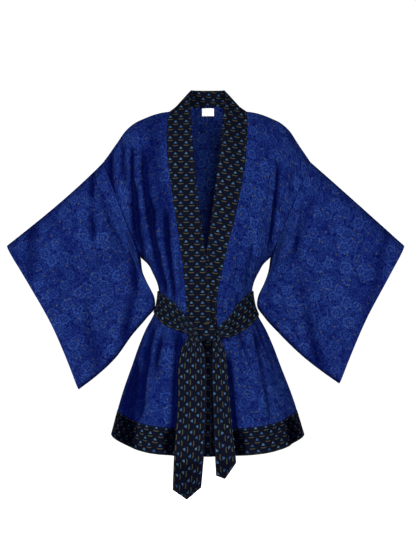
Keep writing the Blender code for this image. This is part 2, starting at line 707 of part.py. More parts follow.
def make_knot():
    """A rounded loop of belt cloth, narrower below, that holds the two arms."""
    around = np.linspace(0.0, 2 * pi, KNOT_ROUND + 1)[:-1]
    up = np.linspace(-1.0, 1.0, KNOT_ROWS)[:, None]
    taper = 1.0 - np.where(up < 0.0, KNOT_TAPER["below"], KNOT_TAPER["above"]) * up**2
    shape = 1.0 - KNOT_CROWN * np.abs(up) ** 3
    lift = front_depth(KNOT_CENTRE[0], KNOT_CENTRE[1]) + KNOT_LIFT
    side, front = np.cos(around), np.sin(around)
    x = KNOT_CENTRE[0] + KNOT_HALF[0] * taper * np.sign(side) * np.abs(side) ** KNOT_SQUARE
    y = -lift + KNOT_HALF[1] * shape * np.sign(front) * np.abs(front) ** KNOT_SQUARE
    z = KNOT_CENTRE[1] + KNOT_HALF[2] * up + 0.0 * around
    rings = np.stack([x, y, z], axis=-1)
    rows, columns = rings.shape[:2]
    numbers = np.arange(rows * columns).reshape(rows, columns)
    loop = np.concatenate([numbers, numbers[:, :1]], axis=1)
    quads = np.stack([loop[:-1, :-1], loop[:-1, 1:], loop[1:, 1:], loop[1:, :-1]], axis=-1)
    faces = quads.reshape(-1, 4).tolist() + [numbers[0, ::-1].tolist(), numbers[-1].tolist()]
    mesh = bpy.data.meshes.new("belt_knot")
    mesh.from_pydata(rings.reshape(-1, 3).tolist(), [], faces)
    mesh.update()
    mesh.shade_smooth()
    knot = bpy.data.objects.new("belt_knot", mesh)
    robe.objects.link(knot)
    knot.data.materials.append(material("belt_knot", NAVY, 0.75))


def make_label():
    """Blank label inside the back neck, just under the neckband's seam."""
    out = -(CLOTH_WALL / 2 + LABEL_CLEARANCE + LABEL_WALL / 2)
    xs = np.linspace(-LABEL_SIZE[0] / 2, LABEL_SIZE[0] / 2, 7)
    turn = np.arcsin(xs / DROP_SEAM_TOP[0])
    share = np.linspace(0.0, 1.0, 4)[:, None]
    rows = neck_row(turn) + LABEL_ROWS[0] + (LABEL_ROWS[1] - LABEL_ROWS[0]) * share
    points = body_point(turn + 0.0 * rows, rows, BACK, out)
    add_sheet("neck_label", points, wall=LABEL_WALL, color=WHITE, flip=False)


for leftover in list(bpy.data.objects):
    bpy.data.objects.remove(leftover)

BLUE = (0.012, 0.035, 0.260)
NAVY = (0.008, 0.010, 0.022)
WHITE = (0.80, 0.80, 0.78)

robe = bpy.data.collections.new("kimono_robe")
bpy.context.scene.collection.children.link(robe)

make_back()
make_label()
make_neckband()
make_hem_back()
for robe_side in ("right", "left"):
    make_front(robe_side)
    make_sleeve(robe_side)
    make_hem_front(robe_side)
make_belt_wrap()
make_knot()
make_tail("belt_tail_right", TAIL_RIGHT, TIP_RIGHT, 8)
make_tail("belt_tail_left", TAIL_LEFT, TIP_LEFT, 7)
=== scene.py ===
# %% [markdown]
# # A short kimono robe
#
# This lesson dresses a short kimono robe: blue cloth with a tone-on-tone flower print, a dark
# neckband and hem with small drops over arcs, and a tied belt. The robe is filled out as if
# worn, with nobody in it. Every piece is a sheet that a maker would cut, so each one is worked
# out as a surface of two parameters, printed in the measures of the flat cloth, and given the
# thickness of real cloth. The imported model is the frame: it fixes the sizes and the places.

# %% Load the frame
from math import pi

import bmesh
import bpy
import numpy as np
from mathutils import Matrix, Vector


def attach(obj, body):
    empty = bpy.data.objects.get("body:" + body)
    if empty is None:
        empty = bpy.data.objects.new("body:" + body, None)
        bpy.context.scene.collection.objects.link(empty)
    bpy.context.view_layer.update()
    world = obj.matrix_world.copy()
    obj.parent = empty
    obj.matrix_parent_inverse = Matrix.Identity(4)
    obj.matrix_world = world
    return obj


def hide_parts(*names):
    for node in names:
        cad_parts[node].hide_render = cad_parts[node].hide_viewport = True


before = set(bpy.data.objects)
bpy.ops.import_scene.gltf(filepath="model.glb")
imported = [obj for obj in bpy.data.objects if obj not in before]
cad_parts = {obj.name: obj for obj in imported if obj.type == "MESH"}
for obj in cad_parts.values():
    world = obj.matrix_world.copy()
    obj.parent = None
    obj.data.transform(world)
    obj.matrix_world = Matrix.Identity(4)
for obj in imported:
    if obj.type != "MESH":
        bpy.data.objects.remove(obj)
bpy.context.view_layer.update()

# %% [markdown]
# ## Sizes and tables
#
# X runs from the robe's right (negative) to its left, the front faces -Y, and Z is up, with the
# origin at the neck on the line of the shoulders. The tables hold the outline: the shoulder
# line, sections of the body, the seam and the free edge of the neckband, the lower edge of
# each sleeve and the edges of the belt. A smooth curve is read through each table's rows.

# %% Walls and landmarks
CLOTH_WALL = 0.0015
TRIM_WALL = 0.0024
SEAM_GAP = 0.0005
ARMPIT = (0.154, -0.350)
DROP_SEAM_TOP = (0.247, -0.120)
HEM_FRONT = -0.808
HEM_SIDE_RISE = 0.034
HEM_RISE_POWER = 3.6
HEM_BAND_HEIGHT = 0.064
NECK_HALF_WIDTH = 0.092
NECK_COLUMN_RISE = 0.120
BACK_NECK_RISE = 0.0195
BAND_LIFT = 0.0046
BAND_LIFT_SHARE = 0.45
BAND_LIFT_ROWS = (0.86, 1.04)
NECK_BLEND_DROPS = (0.15, 0.42)
LEAN = 0.006
LEAN_LENGTH = 0.80
CHEST_DEPTH_FRONT = 0.112
CHEST_DEPTH_BACK = 0.098
SHOULDER_ROUNDING = 2.0
SIDE_ROUNDING = 0.84
ROUNDING_DROPS = (0.70, 1.00)
FRONT = -1.0
BACK = 1.0
HEM_BAND_ROW = 2.0 - HEM_BAND_HEIGHT / (ARMPIT[1] - HEM_FRONT)
NECK_TURN = float(np.arcsin(NECK_HALF_WIDTH / DROP_SEAM_TOP[0]))
NORMAL_STEP = 0.02
SIDE_EDGE = pi / 2
SHOULDER_EDGE = 0.0
TUCKED_ROW = HEM_BAND_ROW + 0.003
SIGNS = {"right": -1.0, "left": 1.0}
print("walls, m:", CLOTH_WALL, TRIM_WALL, "band along the hem, m:", HEM_BAND_HEIGHT)

# %% Tables of the body
# Shoulder line: distance from the centre as a share of the drop seam's, and height
SHOULDER_LINE = [
    (0.3725, 0.000),
    (0.43, -0.0018),
    (0.52, -0.0072),
    (0.61, -0.0158),
    (0.73, -0.0315),
    (0.80, -0.0480),
    (0.875, -0.0755),
    (1.00, -0.120),
]
# Body sections below the armpit: height, half width, depth in front, depth at the back
BODY_SECTIONS = [
    (-0.350, 0.154, 0.112, 0.098),
    (-0.366, 0.138, 0.110, 0.094),
    (-0.389, 0.126, 0.106, 0.089),
    (-0.418, 0.1145, 0.101, 0.083),
    (-0.440, 0.111, 0.098, 0.080),
    (-0.475, 0.1155, 0.096, 0.080),
    (-0.504, 0.127, 0.099, 0.086),
    (-0.533, 0.142, 0.104, 0.096),
    (-0.575, 0.159, 0.111, 0.108),
    (-0.634, 0.179, 0.119, 0.120),
    (-0.692, 0.199, 0.127, 0.130),
    (-0.750, 0.216, 0.134, 0.138),
    (-0.808, 0.231, 0.139, 0.143),
]
# Neckband on the fronts: height, distance of its seam from the centre on the right front
# and on the left front, then the width that shows on the right and on the left
BAND_SEAM = [
    (0.000, 0.0920, 0.0920, 0.0570, 0.0570),
    (-0.030, 0.0955, 0.0940, 0.0560, 0.0570),
    (-0.085, 0.0950, 0.0930, 0.0555, 0.0570),
    (-0.124, 0.0910, 0.0903, 0.0550, 0.0567),
    (-0.182, 0.0825, 0.0822, 0.0545, 0.0553),
    (-0.275, 0.0670, 0.0640, 0.0538, 0.0505),
    (-0.315, 0.0610, 0.0543, 0.0558, 0.0476),
    (-0.356, 0.0547, 0.0447, 0.0578, 0.0462),
    (-0.442, 0.0460, 0.0280, 0.0570, 0.0480),
    (-0.490, 0.0440, 0.0262, 0.0570, 0.0520),
    (-0.533, 0.0430, 0.0290, 0.0570, 0.0570),
    (-0.808, 0.0470, 0.0280, 0.0570, 0.0570),
]
# Free edge of the neckband round the neck. Station is minus the drop below the shoulder
# on the front, 0 on the shoulder and 1 at the centre back; then x (outwards) on the right
# and on the left, y, z
NECK_EDGE = [
    (-0.40, 0.0340, 0.0275, -0.096, -0.108),
    (-0.15, 0.0405, 0.0348, -0.064, -0.022),
    (-0.05, 0.0410, 0.0368, -0.036, 0.012),
    (0.00, 0.0410, 0.0382, -0.006, 0.036),
    (0.25, 0.0405, 0.0392, 0.024, 0.0530),
    (0.50, 0.0390, 0.0384, 0.051, 0.0588),
    (0.75, 0.0270, 0.0270, 0.071, 0.0608),
    (1.00, 0.0000, 0.0000, 0.080, 0.0615),
]
print("half width at the hem, m:", BODY_SECTIONS[-1][1])

# %% Tables of the sleeves
# Lower path of each sleeve, from the armpit down the closed inner edge, round the corner
# and along the bottom seam to the cuff: x (outwards) and height
SLEEVE_LOWER = {
    "right": [
        (0.1560, -0.352),
        (0.1515, -0.385),
        (0.1375, -0.418),
        (0.1225, -0.448),
        (0.1225, -0.470),
        (0.1400, -0.492),
        (0.1755, -0.533),
        (0.2180, -0.590),
        (0.2610, -0.630),
        (0.3060, -0.664),
    ],
    "left": [
        (0.1560, -0.352),
        (0.1510, -0.385),
        (0.1388, -0.418),
        (0.1258, -0.446),
        (0.1242, -0.466),
        (0.1395, -0.490),
        (0.1770, -0.532),
        (0.2300, -0.584),
        (0.2750, -0.620),
        (0.3170, -0.650),
    ],
}
CUFF_TOP = (0.4738, -0.3215)
CUFF_BOW = {"right": 0.0145, "left": 0.0075}
SLEEVE_TOP_SAG = {"right": 0.0075, "left": -0.001}
CUFF_FORWARD = 0.014
# Half depth of the sleeve tube: place along the sleeve, at the arm, low down, and the
# rounding lengths at the fold and at the bottom
SLEEVE_DEPTH = [
    (0.00, 0.052, 0.046, 0.055, 0.050),
    (0.12, 0.052, 0.024, 0.052, 0.022),
    (0.30, 0.048, 0.013, 0.050, 0.012),
    (0.60, 0.043, 0.012, 0.046, 0.012),
    (1.00, 0.038, 0.012, 0.042, 0.012),
]
ARM_ROOM = (0.080, 0.230)
SLEEVE_TOP_SPREAD = 1.25
SLEEVE_FOLD_REACH = 0.40
SLEEVE_FLAT_DEPTH = 0.020
print("cuff, highest point, m:", CUFF_TOP)

# %% Tables of the belt
BELT_CLEARANCE = 0.0032
BELT_KNOT_LIFT = 0.0135
BELT_LIFT_TURNS = (0.18, 0.42)
BELT_CROWN = 0.0012
BELT_ENDS = {"right": 0.0708, "left": 0.1088}
# Belt edges: turn (0 front centre, 1 side, 2 back centre), top and bottom heights on the
# right and on the left
BELT_EDGES = [
    (0.12, -0.508, -0.531, -0.514, -0.540),
    (0.26, -0.482, -0.524, -0.493, -0.536),
    (0.44, -0.459, -0.516, -0.464, -0.524),
    (0.61, -0.446, -0.507, -0.446, -0.512),
    (0.80, -0.439, -0.496, -0.439, -0.503),
    (1.00, -0.436, -0.490, -0.436, -0.497),
    (1.40, -0.432, -0.489, -0.432, -0.491),
    (2.00, -0.430, -0.488, -0.430, -0.488),
]
KNOT_CENTRE = (-0.001, -0.5215)
KNOT_HALF = (0.0205, 0.0095, 0.0200)
KNOT_LIFT = 0.0185
KNOT_TAPER = {"below": 0.28, "above": 0.08}
KNOT_CROWN = 0.80
KNOT_SQUARE = 0.7
# Belt tails: height, inner x and outer x of the hanging strip
TAIL_RIGHT = [
    (-0.524, -0.0380, -0.0163),
    (-0.534, -0.0410, -0.0149),
    (-0.546, -0.0480, -0.0100),
    (-0.562, -0.0560, -0.0030),
    (-0.590, -0.0625, -0.0003),
    (-0.678, -0.0665, -0.0002),
    (-0.806, -0.0780, -0.0090),
    (-0.884, -0.0815, -0.0150),
]
TAIL_LEFT = [
    (-0.530, 0.0226, 0.0340),
    (-0.546, 0.0160, 0.0360),
    (-0.565, 0.0150, 0.0430),
    (-0.607, 0.0135, 0.0480),
    (-0.678, 0.0138, 0.0527),
    (-0.806, 0.0160, 0.0620),
    (-0.850, 0.0183, 0.0645),
]
TAIL_LIFT = 0.0110
TIP_START = 0.6
TIP_RIGHT = [(0.0, 0.0), (0.5, -0.022), (1.0, 0.007)]
TIP_LEFT = [(0.0, 0.0), (0.45, -0.008), (1.0, 0.029)]
# The hanging ends: strip, tip and the phase of their pleats
TAILS = {"right": (TAIL_RIGHT, TIP_RIGHT, 0.0), "left": (TAIL_LEFT, TIP_LEFT, 0.8)}
print("feet of the hanging ends, m:", TAIL_RIGHT[-1][0], TAIL_LEFT[-1][0])

# %% Read a table
def smooth(table, at, column=1):
    """Read a table's column at given places along a smooth curve through its rows."""
    rows = np.array(sorted(table), dtype=float)
    keys, values = rows[:, 0], rows[:, column]
    slopes = np.gradient(values, keys)
    at = np.clip(np.asarray(at, dtype=float), keys[0], keys[-1])
    low = np.clip(np.searchsorted(keys, at) - 1, 0, len(keys) - 2)
    span = keys[low + 1] - keys[low]
    s = (at - keys[low]) / span
    return (
        (1 + 2 * s) * (1 - s) ** 2 * values[low]
        + s * (1 - s) ** 2 * span * slopes[low]
        + s * s * (3 - 2 * s) * values[low + 1]
        + s * s * (s - 1) * span * slopes[low + 1]
    )


def ease(value):
    """Smooth step from 0 to 1."""
    value = np.clip(value, 0.0, 1.0)
    return value * value * (3.0 - 2.0 * value)


def step_between(value, limits):
    """Smooth step from 0 at the first limit to 1 at the second."""
    return ease((value - limits[0]) / (limits[1] - limits[0]))


def running(steps, axis=0):
    """Running length from 0 along an axis: the cumulative sum of the steps."""
    return np.insert(np.cumsum(steps, axis=axis), 0, 0.0, axis=axis)


def unit(vectors):
    """Vectors over their own lengths."""
    return vectors / (np.linalg.norm(vectors, axis=-1, keepdims=True) + 1e-12)


sample = smooth(SHOULDER_LINE, 0.2 / DROP_SEAM_TOP[0])
print("shoulder line 0.2 m out:", round(float(sample), 4), "m")

# %% [markdown]
# ## Folds
#
# Cloth that hangs from the shoulders and is drawn in by a belt folds in long troughs: from the
# drop seam down to the waist, and from the belt down to the hem. They are given one row
# each, because a simulated robe would settle into other folds than these. A crease is the
# distance to a bowed line, put through a bell curve that is steep on one side and slack on
# the other, as a fold that leans over is.

# %% One crease
def crease(x, z, line, bow, steep, slack, rise, end):
    """Height of one crease at places (x, z).

    With s along and d across the line from (x1, z1) to (x2, z2) of length L, the bowed distance
    is e = d - bow * sin(pi * s / L), and the height is rise * exp(-(e / w)^2), with w = steep
    where e > 0 and slack where e < 0, faded by smooth steps over end at both ends.
    """
    x1, z1, x2, z2 = line
    length = np.hypot(x2 - x1, z2 - z1)
    along = ((x - x1) * (x2 - x1) + (z - z1) * (z2 - z1)) / length
    across = ((x - x1) * (z2 - z1) - (z - z1) * (x2 - x1)) / length
    across = across - bow * np.sin(pi * np.clip(along / length, 0.0, 1.0))
    width = np.where(across > 0.0, steep, slack)
    fade = ease(along / end) * ease((length - along) / end)
    return rise * fade * np.exp(-((across / width) ** 2))


# %% Large folds of the body
# Face, then in mm: the line's two ends (x, z), bow, steep and slack half widths, rise
FOLDS_MM = [
    (FRONT, -178, -70, -174, -205, 2, 3.1, 8, -7.5),
    (FRONT, -175, -160, -162, -385, 3, 4, 16, -11),
    (FRONT, -160, -90, -150, -260, 3, 11, 11, 4.5),
    (FRONT, -154, -80, -132, -290, 4, 5, 12, -8.2),
    (FRONT, -142, -205, -96, -445, 5, 4.5, 13, -10),
    (FRONT, -122, -240, -82, -430, 3, 9, 8, 4.5),
    (FRONT, -99, -225, -75, -460, 3, 3.5, 8.5, -7.8),
    (FRONT, -206, -60, -190, -200, 0, 4.5, 9, -4.8),
    (FRONT, -238, -75, -222, -225, 0, 6, 10, -6.2),
    (FRONT, -136, 20, -86, -380, 3, 24, 23, -3.6),
    (FRONT, -66, -330, -58, -440, 0, 2.5, 6, -3),
    (FRONT, 168, -110, 160, -250, -2, 3.4, 8.5, -6.5),
    (FRONT, 163, -190, 147, -345, -3, 3.7, 7.5, -8.5),
    (FRONT, 140, -150, 108, -400, -4, 13, 13, 4),
    (FRONT, 112, -290, 92, -425, -3, 3.7, 8, -4.5),
    (FRONT, 205, -110, 196, -230, 0, 3.7, 7, -2.5),
    (FRONT, 78, -300, 66, -430, 0, 3.7, 6, -1.2),
    (FRONT, -129, -500, -160, -740, 3, 8, 9, -7.5),
    (FRONT, -106, -515, -124, -660, 3, 3.7, 10, -6),
    (FRONT, -65, -505, -82, -800, 1, 6, 18, -8.8),
    (FRONT, -90, -730, -96, -920, 0, 11, 14, -8.5),
    (FRONT, -114, -580, -132, -860, 3, 16, 16, 6),
    (FRONT, -168, -580, -196, -860, 4, 30, 20, -7.5),
    (FRONT, -150, -530, -205, -740, 4, 3.1, 7, -3),
    (FRONT, 51, -560, 70, -860, -2, 11, 7, -8.5),
    (FRONT, 77, -735, 81, -920, 0, 10, 10, -8.5),
    (FRONT, 108, -545, 138, -860, -3, 20, 22, 6),
    (FRONT, 114, -510, 148, -740, 0, 4, 9, -5.6),
    (FRONT, 190, -700, 210, -860, -4, 13, 18, -7),
    (FRONT, 74, -515, 116, -640, 0, 2.7, 8, -4.2),
    (BACK, 0, -520, 4, -860, 4, 20, 24, 7),
    (BACK, -55, -505, -72, -860, 3, 9, 16, -8.5),
    (BACK, -100, -530, -134, -860, 4, 20, 22, 6),
    (BACK, -150, -560, -194, -860, 4, 9, 16, -7),
    (BACK, 58, -505, 80, -860, -3, 16, 9, -8.5),
    (BACK, 104, -530, 142, -860, -4, 22, 20, 6),
    (BACK, 156, -570, 200, -860, -4, 16, 9, -7),
    (BACK, -50, -190, -40, -420, 3, 8, 13, -5),
    (BACK, 52, -200, 42, -420, -3, 13, 8, -5),
    (BACK, -12, -300, -4, -420, 0, 8, 7, -3),
    (BACK, -172, -100, -120, -410, 6, 7, 13, -9),
    (BACK, 170, -100, 118, -410, -6, 13, 7, -9),
    (BACK, -120, -220, -86, -420, 3, 6, 9, -4.5),
    (BACK, 124, -210, 88, -420, -3, 9, 6, -4.5),
]
BODY_FOLDS = [(face, *(value / 1000 for value in row)) for face, *row in FOLDS_MM]
FOLD_END = 0.045
FOLD_END_SHARE = 0.45
TROUGH_GAIN = 1.35
# Painted shade: full at the bottom of a trough 7.5 mm down, and 0.9 on turned edges
DEEP_FOLD = 0.0075
TURNED_EDGE_SHADE = 0.9
RIPPLE = 0.0006

# %% Gathers at the belt
# Above and below the belt the cloth is drawn into short, narrow gathers of uneven length.
GATHER_SEED = 11
GATHERS_ROUND = 52
GATHER_JITTER = 0.35
GATHER_START = 0.008
GATHER_BOW = 0.001
GATHER_LENGTHS = (0.035, 0.110)
GATHER_WIDTHS = (0.0026, 0.0050)
GATHER_DEPTHS = (0.0010, 0.0028)
HALF_WAIST = 0.116


def belt_middle(side):
    """Height of the belt's middle at side * half the waist: -0.528 + 0.053 * |side|^0.8."""
    return -0.528 + 0.053 * np.abs(side) ** 0.8


def gather_table():
    """Rows like the folds' for short creases that run up and down from the belt.

    Gather k sits at turn t_k = (k + jitter) * 2 pi / n round the waist; each has its own length,
    half width and depth. Those below the belt are a fifth longer. A gather slants outwards, as
    cloth that flares away from a belt does: over 0.1 m its x grows by a quarter above the belt
    and by 0.3 below it.
    """
    rng = np.random.default_rng(GATHER_SEED)
    jitter = rng.uniform(-GATHER_JITTER, GATHER_JITTER, GATHERS_ROUND)
    turn = (np.arange(GATHERS_ROUND) + jitter) / GATHERS_ROUND * 2 * pi
    face = np.where(np.cos(turn) > 0.0, FRONT, BACK)
    side = np.sin(turn)
    rows = []
    for way, longer, spread in ((1.0, 1.0, 0.25), (-1.0, 1.2, 0.30)):
        length = rng.uniform(*GATHER_LENGTHS, GATHERS_ROUND) * longer
        width = rng.uniform(*GATHER_WIDTHS, GATHERS_ROUND)
        rise = -rng.uniform(*GATHER_DEPTHS, GATHERS_ROUND)
        bow = np.full(GATHERS_ROUND, GATHER_BOW)
        z1 = belt_middle(side) + way * GATHER_START
        x1 = side * HALF_WAIST
        x2 = x1 * (1.0 + spread * length / 0.10)
        columns = (face, x1, z1, x2, z1 + way * length, bow, width, width, rise)
        rows += np.stack(columns, axis=1).tolist()
    return rows


GATHERS = gather_table()
print("large folds:", len(BODY_FOLDS), "gathers:", len(GATHERS))

# %% Sum of the folds
def body_folds(x, z, face, fine=True):
    """Rise of the cloth at (x, z): the sum of all creases on that face, and a slack ripple.

    The ripple is the product of two slow sine waves, 0.6 mm high, for cloth that is nowhere
    quite flat. Without fine, only the large folds count, as under the belt.
    """
    total = np.zeros_like(x)
    rows = BODY_FOLDS + (GATHERS if fine else [])
    for fold_face, x1, z1, x2, z2, bow, steep, slack, rise in rows:
        if fold_face == face:
            end = min(FOLD_END, FOLD_END_SHARE * abs(z2 - z1))
            rise = rise * (TROUGH_GAIN if fine and rise < 0 else 1.0)
            total += crease(x, z, (x1, z1, x2, z2), bow, steep, slack, rise, end)
    if fine:
        wave = np.sin(61.0 * x + 13.0 * z + 2.0 * face) * np.sin(38.0 * z - 17.0 * x)
        total += RIPPLE * wave
    return total


trough = body_folds(np.array([-0.194]), np.array([-0.75]), FRONT)
print("rise of the right side's trough, m:", round(float(trough[0]), 4))

# %% [markdown]
# ## The body's form
#
# Front and back lie on one form, so that they meet at the side seams. A point has a turn, from
# the centre round to the side, and a row, from the shoulder (0) to the armpit (1) and the hem
# (2). Above the armpit the form narrows from the drop seam to the armpit and arches over the
# shoulder; below it the sections of the table take over.

# %% Shoulder, armhole and hem
def sleeve_half_depth(along, down, length):
    """Half depth of the sleeve tube: round over the arm, flat and closing below.

    Near either end of a ring it is a quarter circle, sqrt(1 - (1 - d / rounding)^2), with d
    the distance from that end.
    """
    arm, low, *roundings = (smooth(SLEEVE_DEPTH, along, column) for column in (1, 2, 3, 4))
    depth = arm + (low - arm) * step_between(down * length, ARM_ROOM)
    for from_end, rounding in zip((down * length, (1.0 - down) * length), roundings):
        depth = depth * np.sqrt(1.0 - (1.0 - np.clip(from_end / rounding, 0, 1)) ** 2)
    return depth


def shoulder_height(share):
    """Height of the shoulder line, which rises as a column inside the neck."""
    neck_share = NECK_HALF_WIDTH / DROP_SEAM_TOP[0]
    column = NECK_COLUMN_RISE * (1.0 - (share / neck_share) ** 2)
    return np.where(share < neck_share, column, smooth(SHOULDER_LINE, share))


ARMHOLE = np.hypot(DROP_SEAM_TOP[0] - ARMPIT[0], DROP_SEAM_TOP[1] - ARMPIT[1])


def armhole_depth(drop):
    """Half depth of the armhole at a drop from 0 at the shoulder to 1 at the armpit."""
    return sleeve_half_depth(np.zeros_like(drop), drop, ARMHOLE)


def hem_height(share):
    """Height of the hem, which rises from the centre (share 0) to the side seams (1)."""
    return HEM_FRONT + HEM_SIDE_RISE * np.abs(share) ** HEM_RISE_POWER


def lean(height):
    """Sideways hang of the robe: it swings a little to its right at the waist."""
    return -LEAN * np.sin(pi * np.clip(-height / LEAN_LENGTH, 0.0, 1.0))


print("armhole, m:", round(float(ARMHOLE), 3), "lean at the waist, m:", round(float(lean(-0.5)), 4))

# %% Rows of the form
def drop_of(row):
    """Share of the height from the shoulder to the armpit: 1 - cos(row * pi / 2)."""
    return 1.0 - np.cos(np.clip(row, 0.0, 1.0) * pi / 2)


def section_of(row):
    """Height below the armpit, in even steps of the rows from 1 to 2."""
    return ARMPIT[1] + np.clip(row - 1.0, 0.0, 1.0) * (HEM_FRONT - ARMPIT[1])


def half_width(row):
    """Half width of the form: it narrows to the armpit, then follows the table."""
    upper = DROP_SEAM_TOP[0] + (ARMPIT[0] - DROP_SEAM_TOP[0]) * drop_of(row)
    return np.where(row < 1.0, upper, smooth(BODY_SECTIONS, section_of(row), 1))


print("half width at armpit and hem, m:", [round(float(half_width(row)), 3) for row in (1.0, 2.0)])

# %% The form before folds
def base_form(turn, row, face):
    """The body form before folds.

    turn is the angle from the centre to the side, signed. row is 0 on the shoulder line,
    1 at the armpit and 2 at the hem. x is the half width times sin(turn), and the depth is an
    arch over the shoulder times a power of cos(turn), opened at its side to the armhole's depth.
    """
    turn, row = np.broadcast_arrays(np.asarray(turn, float), np.asarray(row, float))
    side = np.abs(np.sin(turn))
    drop = drop_of(row)
    lower = np.clip(row - 1.0, 0.0, 1.0)
    is_upper = row < 1.0
    chest, column = (CHEST_DEPTH_FRONT, 2) if face == FRONT else (CHEST_DEPTH_BACK, 3)
    arch = chest * np.sin(np.clip(row, 0.0, 1.0) * pi / 2)
    full = np.where(is_upper, arch, smooth(BODY_SECTIONS, section_of(row), column))
    z = np.where(
        is_upper,
        shoulder_height(side) * (1.0 - drop) + ARMPIT[1] * drop,
        ARMPIT[1] + lower * (hem_height(side) - ARMPIT[1]),
    )
    open_side = np.where(is_upper, armhole_depth(drop), 0.0)
    change = step_between(drop, ROUNDING_DROPS)
    power = SHOULDER_ROUNDING + (SIDE_ROUNDING - SHOULDER_ROUNDING) * change
    round_off = np.abs(np.cos(turn)) ** np.where(is_upper, power, SIDE_ROUNDING)
    y = face * (open_side + (full - open_side) * round_off)
    return np.stack([half_width(row) * np.sin(turn), y, z], axis=-1)


print("front at the armpit's height, m:", np.round(base_form(0.0, 1.0, FRONT), 3).tolist())

# %% The form with folds
SEAM_HOLD = 0.10
SHOULDER_HOLD = 0.12
# Widths of the painted shade along the side seams and below the shoulder line
EDGE_SHADE_TURN = 0.16
EDGE_SHADE_ROW = 0.10


def body_point(turn, row, face, out=0.0, fine=True):
    """The form at (turn, row), moved along its normal by out plus the rise of the folds.

    The normal is the cross product of two short steps on the form, one inwards and one along
    the rows, so it needs no slopes by hand.
    """
    turn, row = np.broadcast_arrays(np.asarray(turn, float), np.asarray(row, float))
    here = base_form(turn, row, face)
    inward = np.where(turn > 0, -NORMAL_STEP, NORMAL_STEP)
    across = (base_form(turn + inward, row, face) - here) * np.sign(inward)[..., None]
    way = np.where(row > 1.0, -NORMAL_STEP, NORMAL_STEP)
    down = (base_form(turn, row + way, face) - here) * np.sign(way)[..., None]
    raised = np.asarray(out + fold_rise(turn, row, face, fine))
    point = here + unit(np.cross(down, across) * -face) * raised[..., None]
    point[..., 0] += lean(point[..., 2])
    return point


def fold_rise(turn, row, face, fine=True):
    """The folds' rise at (turn, row), held down at the side seam and the shoulder line."""
    here = base_form(turn, row, face)
    hold = ease((pi / 2 - np.abs(turn)) / SEAM_HOLD) * ease(row / SHOULDER_HOLD)
    return hold * body_folds(here[..., 0], here[..., 2], face, fine)


def fold_shade(turn, row, face):
    """Painted shade, where less light falls: 0 on the crests to 1 at the bottom of the deepest
    folds and on the folded-over edges.
    """
    inside = ease((pi / 2 - np.abs(turn)) / EDGE_SHADE_TURN) * ease(row / EDGE_SHADE_ROW + 0.1)
    trough = np.clip(-fold_rise(turn, row, face) / DEEP_FOLD, 0.0, 1.0)
    return np.maximum(trough, TURNED_EDGE_SHADE * (1.0 - inside))


# %% Places on the form
def turn_of(x, row):
    """The turn at which the form has a given x."""
    return np.arcsin(np.clip(x / half_width(row), -1.0, 1.0))


def row_of(height):
    """The row below the armpit that lies at a height at the centre."""
    return 1.0 + (np.asarray(height) - ARMPIT[1]) / (HEM_FRONT - ARMPIT[1])


def nominal_height(row):
    """Height of a row at the neckband's seam."""
    return np.where(row < 1.0, ARMPIT[1] * drop_of(row), section_of(row))


def seam_x(row, side):
    """Signed x of the neckband's seam on one front."""
    return SIGNS[side] * smooth(BAND_SEAM, nominal_height(row), 1 if side == "right" else 2)


# %% [markdown]
# ## From a grid to a sewn piece
#
# A piece arrives as a grid of points with, for each point, its place on the flat cloth in
# metres. That place becomes the piece's UV map, so a motif keeps its real size wherever the
# cloth bends. The grid is one surface; a wall is added afterwards by Solidify, half inwards
# and half outwards, as the solids have it.

# %% Where a point lies on the flat cloth
def flat_cut(points, centre=None, flip_u=False):
    """The flat place (u, v) of each grid point, from lengths measured on the surface.

    u is the running length along each row, counted from the centre column, and v is minus the
    running length down each column, both as cumulative sums of the distances between points.
    """
    u = running(np.linalg.norm(np.diff(points, axis=1), axis=-1), axis=1)
    v = running(np.linalg.norm(np.diff(points, axis=0), axis=-1), axis=0)
    if centre is not None:
        u = u - u[:, centre : centre + 1]
    return np.stack([-u if flip_u else u, -v], axis=-1)


def upright_cut(points, lean_angle):
    """The flat place on a nearly upright strip: (x, z), turned by the lean of its print."""
    x, z = points[..., 0], points[..., 2]
    c, s = np.cos(lean_angle), np.sin(lean_angle)
    return np.stack([c * x - s * z, s * x + c * z], axis=-1)


def straight_cut(points, flip_u=False):
    """The flat place on a straight strip: the mean running lengths of all rows and columns.

    Unlike flat_cut it keeps the print's rows straight across the strip, as they are on a band
    that was cut along the grain and then eased round a curve.
    """
    cut = flat_cut(points, flip_u=flip_u)
    u, v = cut[..., 0].mean(axis=0), cut[..., 1].mean(axis=1)
    return np.stack(np.broadcast_arrays(u[None], v[:, None]), axis=-1)


# %% Meshes and objects
def grid_faces(rows, columns):
    """Four corners of each cell of a grid whose points are numbered row by row."""
    n = np.arange(rows * columns).reshape(rows, columns)
    return np.stack([n[:-1, :-1], n[1:, :-1], n[1:, 1:], n[:-1, 1:]], axis=-1).reshape(-1, 4)


def make_mesh(name, points, corners, material):
    """A smooth mesh from an array of points and one of four corners for each face."""
    mesh = bpy.data.meshes.new(name)
    mesh.from_pydata(points.tolist(), [], corners.tolist())
    mesh.materials.append(material)
    mesh.shade_smooth()
    return mesh


def add_object(name, data):
    """An object in the scene, at the origin."""
    made = bpy.data.objects.new(name, data)
    bpy.context.scene.collection.objects.link(made)
    return made


def weld(mesh):
    """Join points that lie on each other, as along the seam that closes a tube."""
    work = bmesh.new()
    work.from_mesh(mesh)
    bmesh.ops.remove_doubles(work, verts=work.verts, dist=0.00002)
    work.to_mesh(mesh)
    work.free()


def give_wall(piece, wall):
    """Thicken a surface by half its wall on each side, and round the cut edge by a third."""
    shell = piece.modifiers.new("wall", "SOLIDIFY")
    shell.thickness = wall
    shell.offset = 0.0
    edge = piece.modifiers.new("soft_edge", "BEVEL")
    edge.width = wall / 3
    edge.segments = 2
    edge.limit_method = "ANGLE"
    edge.angle_limit = 1.1


